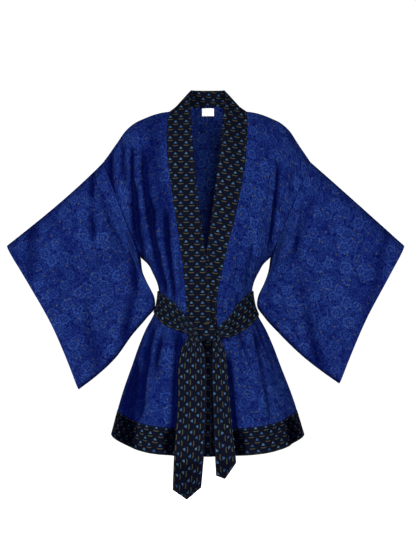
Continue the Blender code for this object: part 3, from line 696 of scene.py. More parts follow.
# %% A sewn piece
def sewn_piece(node, grids, slot, join=False, flip=False, closed=False):
    """One object from grids of (points, cut, painted shade), with its wall, UV map and frame calls.

    The painted shade runs from 0 to 1 where the cloth lies in a fold or turns away at an
    edge; it becomes an attribute that darkens the colour there. A closed
    surface is solid and gets no wall.
    """
    material, wall = CLOTHS[slot]
    points, corners, cuts, depths, first = [], [], [], [], 0
    for place, cut, *painted_shade in grids:
        faces = grid_faces(*place.shape[:2])
        points.append(place.reshape(-1, 3))
        corners.append(faces + first)
        cuts.append(cut.reshape(-1, 2)[faces])
        depths.append(painted_shade[0].reshape(-1) if painted_shade else np.zeros(len(points[-1])))
        first += len(points[-1])
    points, corners, cuts, depths = map(np.concatenate, (points, corners, cuts, depths))
    if flip:
        corners, cuts = corners[:, ::-1], cuts[:, ::-1]
    name = node + "_cloth"
    mesh = make_mesh(name, points, corners, material)
    cut_map = mesh.uv_layers.new(name="flat_cut")
    cut_map.data.foreach_set("uv", cuts.reshape(-1).astype(np.float32))
    # Painted shade in folds and on turned edges, kept per point as an attribute
    shade = mesh.attributes.new("fold_shade", "FLOAT", "POINT")
    shade.data.foreach_set("value", depths.astype(np.float32))
    if join:
        weld(mesh)
    piece = add_object(name, mesh)
    if not closed:
        give_wall(piece, wall)
    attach(piece, "root")
    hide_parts(node)
    print(name, len(corners), "cells")
    return piece


# %% [markdown]
# ## Materials
#
# Both cloths are printed cotton-like weaves and quite matt. The prints are ordinary repeats.
# The blue one is a generic tone-on-tone field of round blossoms, buds and vines; the dark one
# is a staggered repeat of a small pale drop above a dull gold arc. Both are worked out from
# the flat place of the cloth, so they follow every fold.

# %% A short way to write nodes
class Value:
    """One output of a node; each operator adds the math node that it stands for."""

    def __init__(self, socket):
        self.socket = socket

    def __add__(self, other):
        return calc("ADD", self, other)

    def __sub__(self, other):
        return calc("SUBTRACT", self, other)

    def __rsub__(self, other):
        return calc("SUBTRACT", other, self)

    def __mul__(self, other):
        return calc("MULTIPLY", self, other)

    def __truediv__(self, other):
        return calc("DIVIDE", self, other)

    def __pow__(self, other):
        return calc("POWER", self, other)

    def __abs__(self):
        return calc("ABSOLUTE", self)

    __radd__, __rmul__ = __add__, __mul__


def feed(socket, value):
    """Link a value to a socket, or set the socket to a constant."""
    if isinstance(value, Value):
        socket.id_data.links.new(value.socket, socket)
    else:
        socket.default_value = value


def add_node(source, kind, inputs=(), **settings):
    """A node of one kind in the source's tree, with its settings and then its inputs made."""
    tree = source.socket.id_data if isinstance(source, Value) else source
    made = tree.nodes.new(kind)
    for key, value in settings.items():
        setattr(made, key, value)
    for key, value in dict(inputs).items():
        feed(made.inputs[key], value)
    return made


def calc(operation, *values):
    """A math node: on vectors where one of the values is a vector, else on numbers."""
    given = [value for value in values if isinstance(value, Value)]
    on_vectors = any(value.socket.type == "VECTOR" for value in given)
    kind = "ShaderNodeVectorMath" if on_vectors else "ShaderNodeMath"
    return Value(add_node(given[0], kind, enumerate(values), operation=operation).outputs[0])


def step(value, low, high):
    """Smooth step from 0 at low to 1 at high, or falling where low is above high."""
    limits = (low, high, 0.0, 1.0) if low < high else (high, low, 1.0, 0.0)
    inputs = enumerate((value, *limits))
    made = add_node(value, "ShaderNodeMapRange", inputs, interpolation_type="SMOOTHSTEP")
    return Value(made.outputs[0])


def blend(share, below, above):
    """The colour from below, where share is 0, to above, where it is 1."""
    below, above = (c if isinstance(c, Value) else (*c, 1.0) for c in (below, above))
    inputs = {0: share, 6: below, 7: above}
    return Value(add_node(share, "ShaderNodeMix", inputs, data_type="RGBA").outputs[2])


def parts(vector):
    """The first two components of a vector."""
    made = add_node(vector, "ShaderNodeSeparateXYZ", {0: vector})
    return Value(made.outputs[0]), Value(made.outputs[1])


def join_parts(x, y):
    """A vector from two components."""
    return Value(add_node(x, "ShaderNodeCombineXYZ", {0: x, 1: y}).outputs[0])


def noise(place, scale, detail):
    """Soft noise from 0 to 1 with scale waves a metre."""
    inputs = {"Vector": place, "Scale": scale, "Detail": detail}
    made = add_node(place, "ShaderNodeTexNoise", inputs, noise_dimensions="2D")
    return Value(made.outputs["Fac"])


def cells(place, randomness, feature="F1"):
    """Uneven cells of size 1, with their outputs by name."""
    inputs = {"Vector": place, "Scale": 1.0, "Randomness": randomness}
    made = add_node(place, "ShaderNodeTexVoronoi", inputs, voronoi_dimensions="2D", feature=feature)
    return {output.name: Value(output) for output in made.outputs}


def scaled(place, cell):
    """The place counted in cells of one size."""
    return place * (1 / cell, 1 / cell, 0.0)


# %% Start and finish a cloth
def new_cloth(name, roughness=0.9, sheen=0.0):
    """A material for cloth and its shader, without shine."""
    material = bpy.data.materials.new(name)
    material.use_nodes = True
    shader = material.node_tree.nodes["Principled BSDF"]
    looks = {"Roughness": roughness, "Sheen Weight": sheen, "Sheen Roughness": 0.5}
    for key, value in {**looks, "Specular IOR Level": 0.0}.items():
        feed(shader.inputs[key], value)
    return material, shader


def weave(shader, place, thread, strength):
    """Bump of a plain weave: two crossed sine waves of 0.06 mm over a soft crinkle of 1.1 mm."""
    wave = 2 * pi / thread
    warp, weft = (calc("SINE", part * wave) for part in parts(place))
    height = warp * weft * 0.00006 + noise(place, 95.0, 3.0) * 0.0011
    inputs = {"Strength": strength, "Distance": 1.0, "Height": height}
    feed(shader.inputs["Normal"], Value(add_node(place, "ShaderNodeBump", inputs).outputs[0]))


def printed_cloth(name, color_at, amount, painted_shade, thread, strength):
    """A cloth whose colour is color_at(flat place), blended to a painted shade colour by amount
    times the painted shade.
    """
    material, shader = new_cloth(name)
    tree = material.node_tree
    place = Value(add_node(tree, "ShaderNodeUVMap", uv_map="flat_cut").outputs[0])
    depth = Value(add_node(tree, "ShaderNodeAttribute", attribute_name="fold_shade").outputs["Fac"])
    # Painted shade: the colour darkens towards the shade colour in folds and on turned edges
    feed(shader.inputs["Base Color"], blend(depth * amount, color_at(place), painted_shade))
    weave(shader, place, thread, strength)
    return material


def plain_cloth(name, color, roughness, thread):
    """A single dyed yarn: a small noise dims its colour by up to a fifth."""
    material, shader = new_cloth(name, roughness, 0.1)
    place = Value(add_node(material.node_tree, "ShaderNodeTexCoord").outputs["Object"])
    dim = tuple(0.82 * value for value in color)
    feed(shader.inputs["Base Color"], blend(step(noise(place, 900.0, 2.0), 0.2, 0.8), dim, color))
    weave(shader, place, thread, 0.25)
    return material


# %% Blossoms and buds
# Two whorls of petals: size, cut between the petals and turn of each
WHORLS = ((0.36, 0.10, 0.0), (1.00, 0.20, 0.5))


def cell_frame(place, cell, shift, randomness):
    """Distance and offset (x, y) from a cell's own point, and two random numbers of the cell."""
    counted = scaled(place, cell) + shift
    field = cells(counted, randomness)
    return (field["Distance"], *parts(counted - field["Position"]), *parts(field["Color"]))


def blossom_field(place, cell, shift, petals, reach):
    """A field of round blossoms with two whorls of petals each.

    The cloth is divided into uneven cells. About a cell's own point, r is the distance over
    reach, grown at random by 0.92 to 1.42, and a the turned angle. Whorl number k ends at
    E_k = size_k * (1 - cut_k * (1 - |cos(petals * a / 2 + pi * turn_k)|)),
    with size, cut and turn from WHORLS. With t = (r - E_(k-1)) / (E_k - E_(k-1)) the petal is
    dark at its root and pale at its rim: 0.05 + 0.95 * t^1.2. Returns the paleness, the inside
    of the blossom and a random tint for each.
    """
    distance, x, y, tint, size = cell_frame(place, cell, shift, 0.85)
    r = distance * ((size * 0.50 + 0.92) / reach)
    a = calc("ARCTAN2", y, x) + tint * (2 * pi)
    pale, below = 0.0, 0.0
    for whorl, cut, turned in WHORLS:
        wave = abs(calc("COSINE", a * (petals / 2) + pi * turned))
        edge = whorl * (1 - cut) + wave * (whorl * cut)
        span = (r - below) / (edge - below)
        t = calc("MAXIMUM", span, 0.0)
        within = step(t, 1.06, 0.94) * step(span, -0.02, 0.10)
        pale = pale + (0.05 + t**1.2 * 0.95) * within
        below = edge
    return calc("MINIMUM", pale, 1.0), step(r, 0.90, 0.84), tint


def bud_field(place, cell, shift, half_length, half_breadth, share):
    """Small pointed leaves in a share of the cells.

    A leaf is where |x' / half_length|^1.5 + |y' / half_breadth|^1.5 < 1 in a turned frame,
    all counted in cells.
    """
    _, x, y, tint, pick = cell_frame(place, cell, shift, 0.9)
    cosine, sine = (calc(name, tint * 6.3) for name in ("COSINE", "SINE"))
    along, across = x * cosine + y * sine, y * cosine - x * sine
    far = abs(along / half_length) ** 1.5 + abs(across / half_breadth) ** 1.5
    return step(far, 1.15, 0.75) * calc("LESS_THAN", pick, share)


# %% Blue printed cloth
GROUND = (0.0006, 0.0015, 0.0195)
# Painted shade colour, for folds and turned edges
PAINTED_SHADE_BLUE = (0.0001, 0.0003, 0.0110)
MIDDLE = (0.0015, 0.0031, 0.0300)
PETAL = (0.0070, 0.0180, 0.0740)
OLIVE = (0.0185, 0.0200, 0.0200)


def blue_print(place):
    """Blossoms of two sizes over a ground of small specks and vines, with a few olive leaves.

    A noise bends the pattern by up to 8 mm, and a fine grain, -1.05 + 3.9 * noise, breaks up
    the petals as the print's dots do.
    """
    wander = join_parts(noise(place, 90.0, 2.0), noise(place + (3.1, 1.7, 0.0), 90.0, 2.0))
    bent = place + wander * (0.008, 0.008, 0.0)
    large, large_in, tint = blossom_field(
        bent, cell=0.032, shift=(0.0, 0.0, 0.0), petals=5, reach=0.48
    )
    small, _, _ = blossom_field(bent, cell=0.016, shift=(3.7, 1.9, 0.0), petals=5, reach=0.42)
    speck = step(cells(scaled(bent, 0.0070), 1.0)["Distance"], 0.50, 0.12)
    vine = step(cells(scaled(bent, 0.015), 1.0, "DISTANCE_TO_EDGE")["Distance"], 0.10, 0.03)
    filler = calc("MAXIMUM", calc("MAXIMUM", speck * 0.40, vine * 0.35), small * 0.65)
    shown = calc("MAXIMUM", filler * (1.0 - large_in), large)
    strength = (noise(place, 300.0, 2.0) * 3.90 + -1.05) * (tint * 0.62 + 0.42)
    base = blend(step(noise(place, 150.0, 3.0), 0.35, 0.65), GROUND, MIDDLE)
    leaves = bud_field(
        place, cell=0.019, shift=(7.1, 4.3, 0.0), half_length=0.20, half_breadth=0.080, share=0.45
    )
    return blend(leaves * 0.70, blend(shown * strength, base, PETAL), OLIVE)


# %% Dark trim cloth
REPEAT = (0.0253, 0.0129)
INK = (0.0013, 0.0016, 0.0037)
# Painted shade colour, for folds, turned edges and the shadow below the knot
PAINTED_SHADE_INK = (0.0, 0.0, 0.0006)
DROP_DEEP = (0.0046, 0.0172, 0.0480)
DROP_PALE = (0.0165, 0.0385, 0.0630)
GOLD = (0.0230, 0.0215, 0.0120)


def drops_and_arcs(place):
    """Staggered drops and arcs.

    In a cell of 25.3 by 12.9 mm, with p and q its own places in mm from the middle, the drop is
    where |p / 3.5|^1.5 + ((q - 3.2) / 5 + 0.5)^1.2 < 1 above a flat foot, and the arc is within
    0.8 mm of q = -4.6 + 1.1 * (p / 6.3)^2. Every second row is moved by half a cell. Each drop
    has its own blue, and the arcs are worn thin in places by a fine noise.
    """
    u, v = parts(place)
    up = v / REPEAT[1]
    row = calc("FLOOR", up)
    moved = u / REPEAT[0] + calc("FLOORED_MODULO", row, 2.0) * 0.5
    column = calc("FLOOR", moved)
    p = (moved - column - 0.5) * (1000 * REPEAT[0])
    q = (up - row - 0.5) * (1000 * REPEAT[1])
    inputs = {"Vector": join_parts(column, row)}
    luck = add_node(place, "ShaderNodeTexWhiteNoise", inputs, noise_dimensions="2D")
    rise = (q - 3.2) / 5.0 + 0.5
    shape = abs(p / 3.5) ** 1.5 + calc("MAXIMUM", rise, 0.0) ** 1.2
    drop = step(shape, 1.12, 0.86) * step(rise, -0.10, 0.06)
    curve = (p / 6.3) ** 2.0 * 1.1 + -4.6
    arc = step(abs(q - curve), 1.05, 0.55) * step(abs(p), 6.6, 5.6)
    worn = step(noise(place, 420.0, 1.0), 0.30, 0.52)
    arcs = blend(arc * (worn * 0.35 + 0.65), INK, GOLD)
    return blend(drop * 0.95, arcs, blend(Value(luck.outputs["Value"]), DROP_DEEP, DROP_PALE))


# %% The cloths
# amount is how far the painted shade darkens each print
BLUE = printed_cloth(
    "blue_print_cloth", blue_print, amount=0.86, painted_shade=PAINTED_SHADE_BLUE, thread=0.0011, strength=0.25
)
DARK = printed_cloth(
    "dark_trim_cloth", drops_and_arcs, amount=0.88, painted_shade=PAINTED_SHADE_INK, thread=0.0010, strength=0.22
)
LABEL = plain_cloth("label_cloth", (0.62, 0.61, 0.58), roughness=0.7, thread=0.0008)
DARK_THREAD = plain_cloth("dark_thread", (0.0030, 0.0036, 0.0070), roughness=0.6, thread=0.0004)
BLUE_THREAD = plain_cloth("blue_thread", (0.0022, 0.0055, 0.0400), roughness=0.6, thread=0.0004)
LABEL_WALL = 0.0008
CLOTHS = {
    "blue_print_cloth": (BLUE, CLOTH_WALL),
    "dark_trim_cloth": (DARK, TRIM_WALL),
    "label_cloth": (LABEL, LABEL_WALL),
}
print("cloths and their walls, m:", {slot: wall for slot, (_, wall) in CLOTHS.items()})

# %% [markdown]
# ## Rows and columns
#
# Pieces that are sewn together share their rows, so that their edges meet point for point. A
# cell is about 2.5 mm across and 4.5 mm down, small enough for a narrow crease and for a round
# edge at the neck. The panels end about 1.4 mm inside the hem band.

# %% Shared rows
UPPER_ROWS = 84
LOWER_ROWS = 92
HEM_ROWS = 17
FRONT_COLUMNS = 108
SHOULDER_COLUMNS = 68
NECK_COLUMNS = 57


def panel_rows(last=TUCKED_ROW):
    """Rows of a panel: even steps from the shoulder to the armpit, then into the hem band."""
    upper = np.linspace(SHOULDER_EDGE, 1.0, UPPER_ROWS)
    return np.concatenate([upper, np.linspace(1.0, last, LOWER_ROWS)[1:]])


def hem_rows():
    """Rows of the hem band, from just below the panels to the hem."""
    return np.linspace(HEM_BAND_ROW + SEAM_GAP, 2.0, HEM_ROWS)


def band_rows():
    """Rows of the neckband, from the shoulder to the hem."""
    return np.concatenate([panel_rows(HEM_BAND_ROW), hem_rows()])


def front_turns(side, inner, columns=FRONT_COLUMNS):
    """Columns of a front, from its inner edge (the band's seam) out to the side seam."""
    share = np.linspace(0.0, 1.0, columns)
    return inner[:, None] + (SIGNS[side] * SIDE_EDGE - inner[:, None]) * share


def neck_turns():
    """Columns of the back between the two shoulders."""
    return np.linspace(-NECK_TURN, NECK_TURN, NECK_COLUMNS)[1:-1]


def back_turns():
    """Columns of the back, from side seam to side seam."""
    shoulder = np.linspace(NECK_TURN, SIDE_EDGE, SHOULDER_COLUMNS)
    return np.concatenate([-shoulder[::-1], neck_turns(), shoulder])


print("rows of a panel:", len(panel_rows()), "columns of the back:", len(back_turns()))

# %% [markdown]
# ## Fronts and back
#
# Each front is cut straight and hangs from the shoulder; the band is sewn to its inner edge.
# The back is one panel, cut out a little at the neck. On all three the print stands upright.

# %% The two fronts
fronts = {}
for side in SIGNS:
    rows = panel_rows()
    turns = front_turns(side, turn_of(seam_x(rows, side), rows))
    points = body_point(turns, rows[:, None], FRONT)
    cut = flat_cut(points, flip_u=side == "right")
    grids = [(points, cut, fold_shade(turns, rows[:, None], FRONT))]
    fronts[side] = sewn_piece("front_" + side, grids, "blue_print_cloth", flip=side == "left")

# %% The back
def neck_row(turn):
    """Row of the back neck seam at a turn; 0 outside the neck."""
    share = np.abs(np.sin(turn))
    x_share = np.clip(share * DROP_SEAM_TOP[0] / NECK_HALF_WIDTH, 0.0, 1.0)
    seam_z = BACK_NECK_RISE * (1.0 - x_share**2)
    top = shoulder_height(share)
    drop = np.where(x_share < 1.0, (top - seam_z) / (top - ARMPIT[1]), 0.0)
    return np.arccos(1.0 - np.clip(drop, 0.0, 1.0)) / (pi / 2)


turns = back_turns()
first = np.maximum(neck_row(turns), SHOULDER_EDGE)
upper = first + (1.0 - first) * np.linspace(0.0, 1.0, UPPER_ROWS)[:, None]
lower = np.linspace(1.0, TUCKED_ROW, LOWER_ROWS)[1:, None] + 0.0 * turns
rows = np.concatenate([upper, lower])
points = body_point(turns, rows, BACK)
cut = flat_cut(points, centre=len(turns) // 2, flip_u=True)
back = sewn_piece("back", [(points, cut, fold_shade(turns, rows, BACK))], "blue_print_cloth")

# %% [markdown]
# ## Sleeves
#
# A sleeve is one rectangle folded over the arm. It is sewn to the body down the drop seam and
# closed along its lower edge, and it stays open at the cuff. Here it is a tube of rings: each
# ring runs from the top fold down the front, round the lower edge and up the back.

# %% Paths of a sleeve
def path_point(points, share):
    """Point at a share of the way along a smooth path through given points."""
    points = np.array(points)
    marks = running(np.hypot(*np.diff(points, axis=0).T))
    table = np.column_stack([marks / marks[-1], points]).tolist()
    return smooth(table, share, 1), smooth(table, share, 2)


# %% Folds of the sleeves
# Side, face, the line's ends (along, down), bow, steep and slack half widths, rise
SLEEVE_FOLDS = [
    ("right", FRONT, 0.16, 0.08, 0.30, 0.70, 0.006, 0.012, 0.010, -0.0030),
    ("right", FRONT, 0.26, 0.10, 0.44, 0.90, 0.010, 0.024, 0.020, 0.0045),
    ("right", FRONT, 0.08, -0.10, 0.46, 0.38, 0.004, 0.014, 0.014, -0.0062),
    ("right", FRONT, 0.70, 0.55, 0.84, 1.06, 0.006, 0.020, 0.014, -0.0050),
    ("right", FRONT, 0.18, 0.62, 0.64, 1.02, 0.000, 0.016, 0.018, -0.0090),
    ("right", FRONT, 0.80, 0.20, 0.93, 0.85, 0.008, 0.022, 0.022, 0.0025),
    ("right", FRONT, 0.68, -0.12, 1.02, 0.30, 0.000, 0.022, 0.022, -0.0042),
    ("left", FRONT, 0.22, 0.10, 0.36, 0.72, 0.006, 0.012, 0.010, -0.0028),
    ("left", FRONT, 0.12, 0.30, 0.88, 1.04, 0.004, 0.014, 0.011, -0.0032),
    ("left", FRONT, 0.58, 0.70, 0.94, 1.10, 0.004, 0.016, 0.014, -0.0056),
    ("left", FRONT, 0.60, 0.12, 0.86, 0.86, 0.010, 0.026, 0.022, 0.0045),
    ("left", FRONT, 0.10, 0.72, 0.44, 0.97, 0.008, 0.010, 0.012, -0.0030),
    ("left", FRONT, 0.82, -0.08, 1.02, 0.62, 0.006, 0.018, 0.016, -0.0038),
    ("right", BACK, 0.08, 0.16, 0.30, 0.84, 0.010, 0.018, 0.010, -0.0070),
    ("right", BACK, 0.26, 0.10, 0.46, 0.72, 0.006, 0.014, 0.010, -0.0030),
    ("right", BACK, 0.40, 0.16, 0.62, 0.90, 0.010, 0.024, 0.020, 0.0050),
    ("right", BACK, 0.66, 0.24, 0.84, 0.96, 0.008, 0.022, 0.014, -0.0045),
    ("left", BACK, 0.10, 0.18, 0.32, 0.84, 0.010, 0.018, 0.010, -0.0070),
    ("left", BACK, 0.28, 0.10, 0.48, 0.72, 0.006, 0.014, 0.010, -0.0030),
    ("left", BACK, 0.46, 0.14, 0.70, 0.90, 0.010, 0.024, 0.020, 0.0050),
    ("left", BACK, 0.70, 0.26, 0.88, 0.96, 0.008, 0.020, 0.014, -0.0045),
]

# %% One point of a sleeve
SLEEVE_RIPPLE = 0.0007
SLEEVE_FADE = 0.05
# Widths of the painted shade along the top fold and the lower edge, as shares of a ring
TURNED_TOP = 0.030
TURNED_FOOT = 0.045


def sleeve_point(side, along, down, face, with_shade=False):
    """A sleeve at (along, down): 0 to 1 from the armhole to the cuff, and from the top fold
    to the lower path.

    In the front view it is the straight line between the two paths, bowed at the cuff. Its
    half depth opens round the arm and closes below, and the folds are added to that depth.
    The painted shade that comes with it is 0 to 1 in the troughs and 0.9 along the top fold and the
    lower edge.
    """
    along, down = np.broadcast_arrays(np.asarray(along, float), np.asarray(down, float))
    reach = along**SLEEVE_TOP_SPREAD
    top_x, top_z = (start + (end - start) * reach for start, end in zip(DROP_SEAM_TOP, CUFF_TOP))
    low_x, low_z = path_point(SLEEVE_LOWER[side], along)
    top_z = top_z - SLEEVE_TOP_SAG[side] * np.sin(pi * along)
    bow = CUFF_BOW[side] * along**2 * np.sin(pi * down)
    x = top_x + (low_x - top_x) * down - bow
    z = top_z + (low_z - top_z) * down
    depth = sleeve_half_depth(along, down, np.hypot(low_x - top_x, low_z - top_z))
    fold = np.zeros_like(x)
    k = SLEEVE_FOLD_REACH
    for fold_side, fold_face, *ends, fold_bow, steep, slack, rise in SLEEVE_FOLDS:
        if (fold_side, fold_face) == (side, face):
            line = [end * k for end in ends]
            fold += crease(along * k, down * k, line, fold_bow, steep, slack, rise, FOLD_END)
    wave = np.sin(23.0 * along + 9.0 * down + face) * np.sin(17.0 * down - 6.0 * along)
    keep = np.clip(depth / SLEEVE_FLAT_DEPTH, 0.0, 1.0) * ease(along / SLEEVE_FADE)
    fold = (fold + SLEEVE_RIPPLE * wave) * keep
    fold = fold * np.where(fold < 0.0, TROUGH_GAIN, 1.0)
    y = face * (depth + fold) - CUFF_FORWARD * along
    place = np.stack([SIGNS[side] * x + lean(z), y, z], axis=-1)
    # Painted shade: darker in the troughs and along the turned top fold and lower edge
    turned = 1.0 - ease(down / TURNED_TOP) * ease((1.0 - down) / TURNED_FOOT)
    painted_shade = np.maximum(np.clip(-fold / DEEP_FOLD, 0.0, 1.0), TURNED_EDGE_SHADE * turned)
    return (place, painted_shade) if with_shade else place


# %% The two sleeves
SEAM_TOUCH = 0.0001
ALONG_STEPS = 92
DOWN_STEPS = 100
# Rings lie closer together at the armhole, and points closer at the folded edges
RING_POWER = 1.08
EDGE_CROWDING = 0.55
along = np.linspace(0.0, 1.0, ALONG_STEPS)[:, None] ** RING_POWER
even = np.linspace(0.0, 1.0, DOWN_STEPS)
down = EDGE_CROWDING * (1.0 - np.cos(pi * even)) / 2 + (1.0 - EDGE_CROWDING) * even
sleeves = {}
for side, sign in SIGNS.items():
    grids = []
    for face in (FRONT, BACK):
        points, painted_shade = sleeve_point(side, along, down, face, with_shade=True)
        points[0, :, 0] += sign * SEAM_TOUCH
        points, painted_shade = points.transpose(1, 0, 2), painted_shade.T
        cut = flat_cut(points, flip_u=(side == "right") == (face == FRONT))
        way = int(-face * sign)
        grids.append((points[:, ::way], cut[:, ::way], painted_shade[:, ::way]))
    sleeves[side] = sewn_piece("sleeve_" + side, grids, "blue_print_cloth", join=True)

# %% [markdown]
# ## Neckband
#
# The band is a doubled strip sewn to both fronts and round the back of the neck, where it
# stands up. On a robe like this the strip is joined at the shoulders, so its drops stay upright
# on the fronts and behind the neck. The wearer's right band lies on top of the left one.

# %% Free edge and fronts of the band
BAND_COLUMNS = 15
BAND_INSET = 0.004
PRINT_LEAN = {"right": 0.0, "left": 0.20, "behind": 0.12}
# How far the dark print is shifted on each piece, in metres
PRINT_SHIFT = {
    "left": (0.009, 0.004), "behind": (0.004, -0.003), "hem": (0.007, 0.0),
    "belt": (0.006, 0.002), "tail": (0.003, 0.005), "knot": (0.004, 0.002),
}
# Top of the painted shadow on the band behind the tails, its span and its strength
TAIL_TOP, TAIL_SHADE_SPAN, BAND_SHADE = -0.530, 0.020, 0.85


def neck_edge(station, sign):
    """A point of the free edge round the neck, on the right (sign -1) or on the left (1)."""
    right, left, y, z = (smooth(NECK_EDGE, station, column) for column in (1, 2, 3, 4))
    return np.stack([sign * np.where(sign < 0, right, left), y, z], axis=-1)


def band_front(side, rows, across):
    """The band on one front: the body's form from the seam in, blended to the neck's edge.

    Below the crossing the right band is lifted by 4.6 mm, to lie on the left one.
    """
    rows, across = rows[:, None], np.asarray(across)
    seam = seam_x(rows, side)
    width = smooth(BAND_SEAM, nominal_height(rows), 3 if side == "right" else 4)
    x = seam - SIGNS[side] * width * across
    lift = BAND_LIFT * ease(across / BAND_LIFT_SHARE) * step_between(rows, BAND_LIFT_ROWS)
    on_body = body_point(turn_of(x, rows), rows, FRONT, lift if side == "right" else 0.0)
    start = body_point(turn_of(seam, rows), rows, FRONT)
    drop = drop_of(rows)
    at_neck = start + (neck_edge(-drop, SIGNS[side]) - start) * across[..., None]
    blend_in = 1.0 - step_between(drop, NECK_BLEND_DROPS)[..., None]
    return on_body + (at_neck - on_body) * blend_in


def band_back(turn, across):
    """The neckband standing round the back neck, from shoulder to shoulder."""
    x = DROP_SEAM_TOP[0] * np.sin(turn)
    station = np.arccos(np.abs(x) / NECK_HALF_WIDTH) / (pi / 2)
    start = body_point(turn, neck_row(turn), BACK)[:, None]
    edge = neck_edge(station, np.sign(turn))[:, None]
    return start + (edge - start) * np.asarray(across)[..., None]


def under_tails(points):
    """Painted shadow on the band behind the knot and the tails: rising to 0.85 over 20 mm."""
    return BAND_SHADE * ease((TAIL_TOP - points[..., 2]) / TAIL_SHADE_SPAN)


# %% The neckband
across = np.linspace(0.0, 1.0, BAND_COLUMNS)
inset = BAND_INSET + (1.0 - BAND_INSET) * across
right, left = (band_front(side, band_rows(), inset) for side in SIGNS)
behind = np.concatenate([right[:1], band_back(neck_turns(), across), left[:1]], axis=0)
left_cut = upright_cut(left, PRINT_LEAN["left"]) + PRINT_SHIFT["left"]
around = flat_cut(behind)[..., 1]
around = around[len(around) // 2] - around
round_neck = np.stack([around, behind[..., 1], behind[..., 2]], axis=-1)
behind_cut = upright_cut(round_neck, PRINT_LEAN["behind"]) + PRINT_SHIFT["behind"]
right = right[::-1]
# Both fronts of the band get painted shadow below the knot
grids = [
    (right, upright_cut(right, PRINT_LEAN["right"]), under_tails(right)),
    (behind, behind_cut),
    (left, left_cut, under_tails(left)),
]
neckband = sewn_piece("neckband", grids, "dark_trim_cloth", join=True)

# %% [markdown]
# ## Hem band
#
# The same dark cloth is sewn on along the hem, one strip below the back and one below each
# front, so its top edge stands a little proud of the blue cloth.

# %% Hem bands
rows = hem_rows()[:, None]
turns = back_turns()
points = body_point(turns, rows, BACK)
grids = [(points, straight_cut(points, flip_u=True), fold_shade(turns, rows, BACK))]
hem_bands = {"back": sewn_piece("hem_band_back", grids, "dark_trim_cloth")}
for side, sign in SIGNS.items():
    turns = front_turns(side, turn_of(seam_x(rows, side) + sign * SEAM_GAP, rows)[:, 0])
    points = body_point(turns, rows, FRONT)
    cut = straight_cut(points, flip_u=side == "right") + PRINT_SHIFT["hem"]
    grids = [(points, cut, fold_shade(turns, rows, FRONT))]
    hem_bands[side] = sewn_piece("hem_band_" + side, grids, "dark_trim_cloth", flip=side == "left")

# %% [markdown]
# ## Belt
#
# The belt is a doubled strip of the trim cloth. It goes once round the waist, slopes down to
# the knot in front, and hangs in two ends with pointed tips. Its print was cut with the drops
# across the strip, so on the hanging ends they lie on their side. Near the knot the strip is
# crushed into a few lengthwise pleats.

# %% A point of the belt
BELT_PLEAT = 0.0011
BELT_PLEAT_TURNS = (0.12, 0.46)
BELT_SOFTNESS = 0.0005


def belt_point(turn, across, side):
    """The belt at a turn (0 front, 1 side, 2 back) and a share of its height, 0 at the top.

    It stands off the body by its clearance, rises towards the knot, and near the knot has
    pleats: 1.1 mm * sin(5 pi * across), faded from turn 0.12 to 0.46.
    """
    column = 1 if side == "right" else 3
    top, bottom = (smooth(BELT_EDGES, turn, number) for number in (column, column + 1))
    row = row_of(top + (bottom - top) * across)
    middle = np.sin(pi * across)
    lift = BELT_CLEARANCE + BELT_KNOT_LIFT * (1.0 - step_between(turn, BELT_LIFT_TURNS))
    lift = lift + (BELT_CROWN + BELT_SOFTNESS * np.sin(21.0 * turn + 4.0 * across)) * middle
    pleats = BELT_PLEAT * np.sin(5.0 * pi * across)
    lift = lift + pleats * (1.0 - step_between(turn, BELT_PLEAT_TURNS))
    from_front, from_back = np.minimum(turn, 1.0), 2.0 - np.maximum(turn, 1.0)
    on_front = body_point(SIGNS[side] * from_front * pi / 2, row, FRONT, lift, False)
    on_back = body_point(SIGNS[side] * from_back * pi / 2, row, BACK, lift, False)
    return np.where((turn <= 1.0)[..., None], on_front, on_back)


def belt_turns(side, steps, inset=0.0):
    """Turns of one half of the belt, from beside the knot round to the centre back."""
    ahead = np.linspace(BELT_ENDS[side] + inset, 1.0, steps)
    return np.concatenate([ahead, np.linspace(1.0, 2.0, steps)[1:]])


# %% The belt round the waist
BELT_ROWS, BELT_STEPS = 15, 70
across = np.linspace(0.0, 1.0, BELT_ROWS)
right, left = (belt_point(belt_turns(side, BELT_STEPS)[:, None], across, side) for side in SIGNS)
points = np.concatenate([right, left[::-1][1:]], axis=0)
cut = straight_cut(points.transpose(1, 0, 2)).transpose(1, 0, 2) + PRINT_SHIFT["belt"]
belt_wrap = sewn_piece("belt_wrap", [(points, cut)], "dark_trim_cloth")

# %% Hanging ends
TAIL_PLEAT = 0.0016
TAIL_TWIST = 0.0015


def front_depth(x, height):
    """Depth of the front's form at (x, height): full depth * (1 - (x / half)^2)^0.42."""
    height = np.maximum(height, HEM_FRONT + 0.01)
    half = smooth(BODY_SECTIONS, height, 1)
    full = smooth(BODY_SECTIONS, height, 2)
    return full * (1.0 - np.clip(x / half, -0.98, 0.98) ** 2) ** (SIDE_ROUNDING / 2)


def tail_point(side, steps, share):
    """A hanging end at (steps, share): 0 to 1 down its length and from its inner edge.

    Its pleats are 1.6 mm * sin(3 pi * share) at the knot and die out half way down; below
    that it has a slow twist of 1.5 mm.
    """
    table, tip, phase = TAILS[side]
    top, foot = table[0][0], table[-1][0]
    z = top + (foot - top) * steps
    inner, outer = smooth(table, z, 1), smooth(table, z, 2)
    x = inner + (outer - inner) * share
    z = z + np.interp(share, *np.transpose(tip)) * step_between(steps, (TIP_START, 1.0))
    pleats = TAIL_PLEAT * np.sin(3.0 * pi * share + phase) * ease(1.0 - 1.8 * steps)
    turning = np.sin(2.0 * pi * steps + phase) * ease(4.0 * steps)
    twist = TAIL_TWIST * turning * (2.0 * share - 1.0)
    y = -front_depth(x, z) - TAIL_LIFT - pleats - twist
    return np.stack([x + lean(np.maximum(z, HEM_FRONT)), y, z], axis=-1)


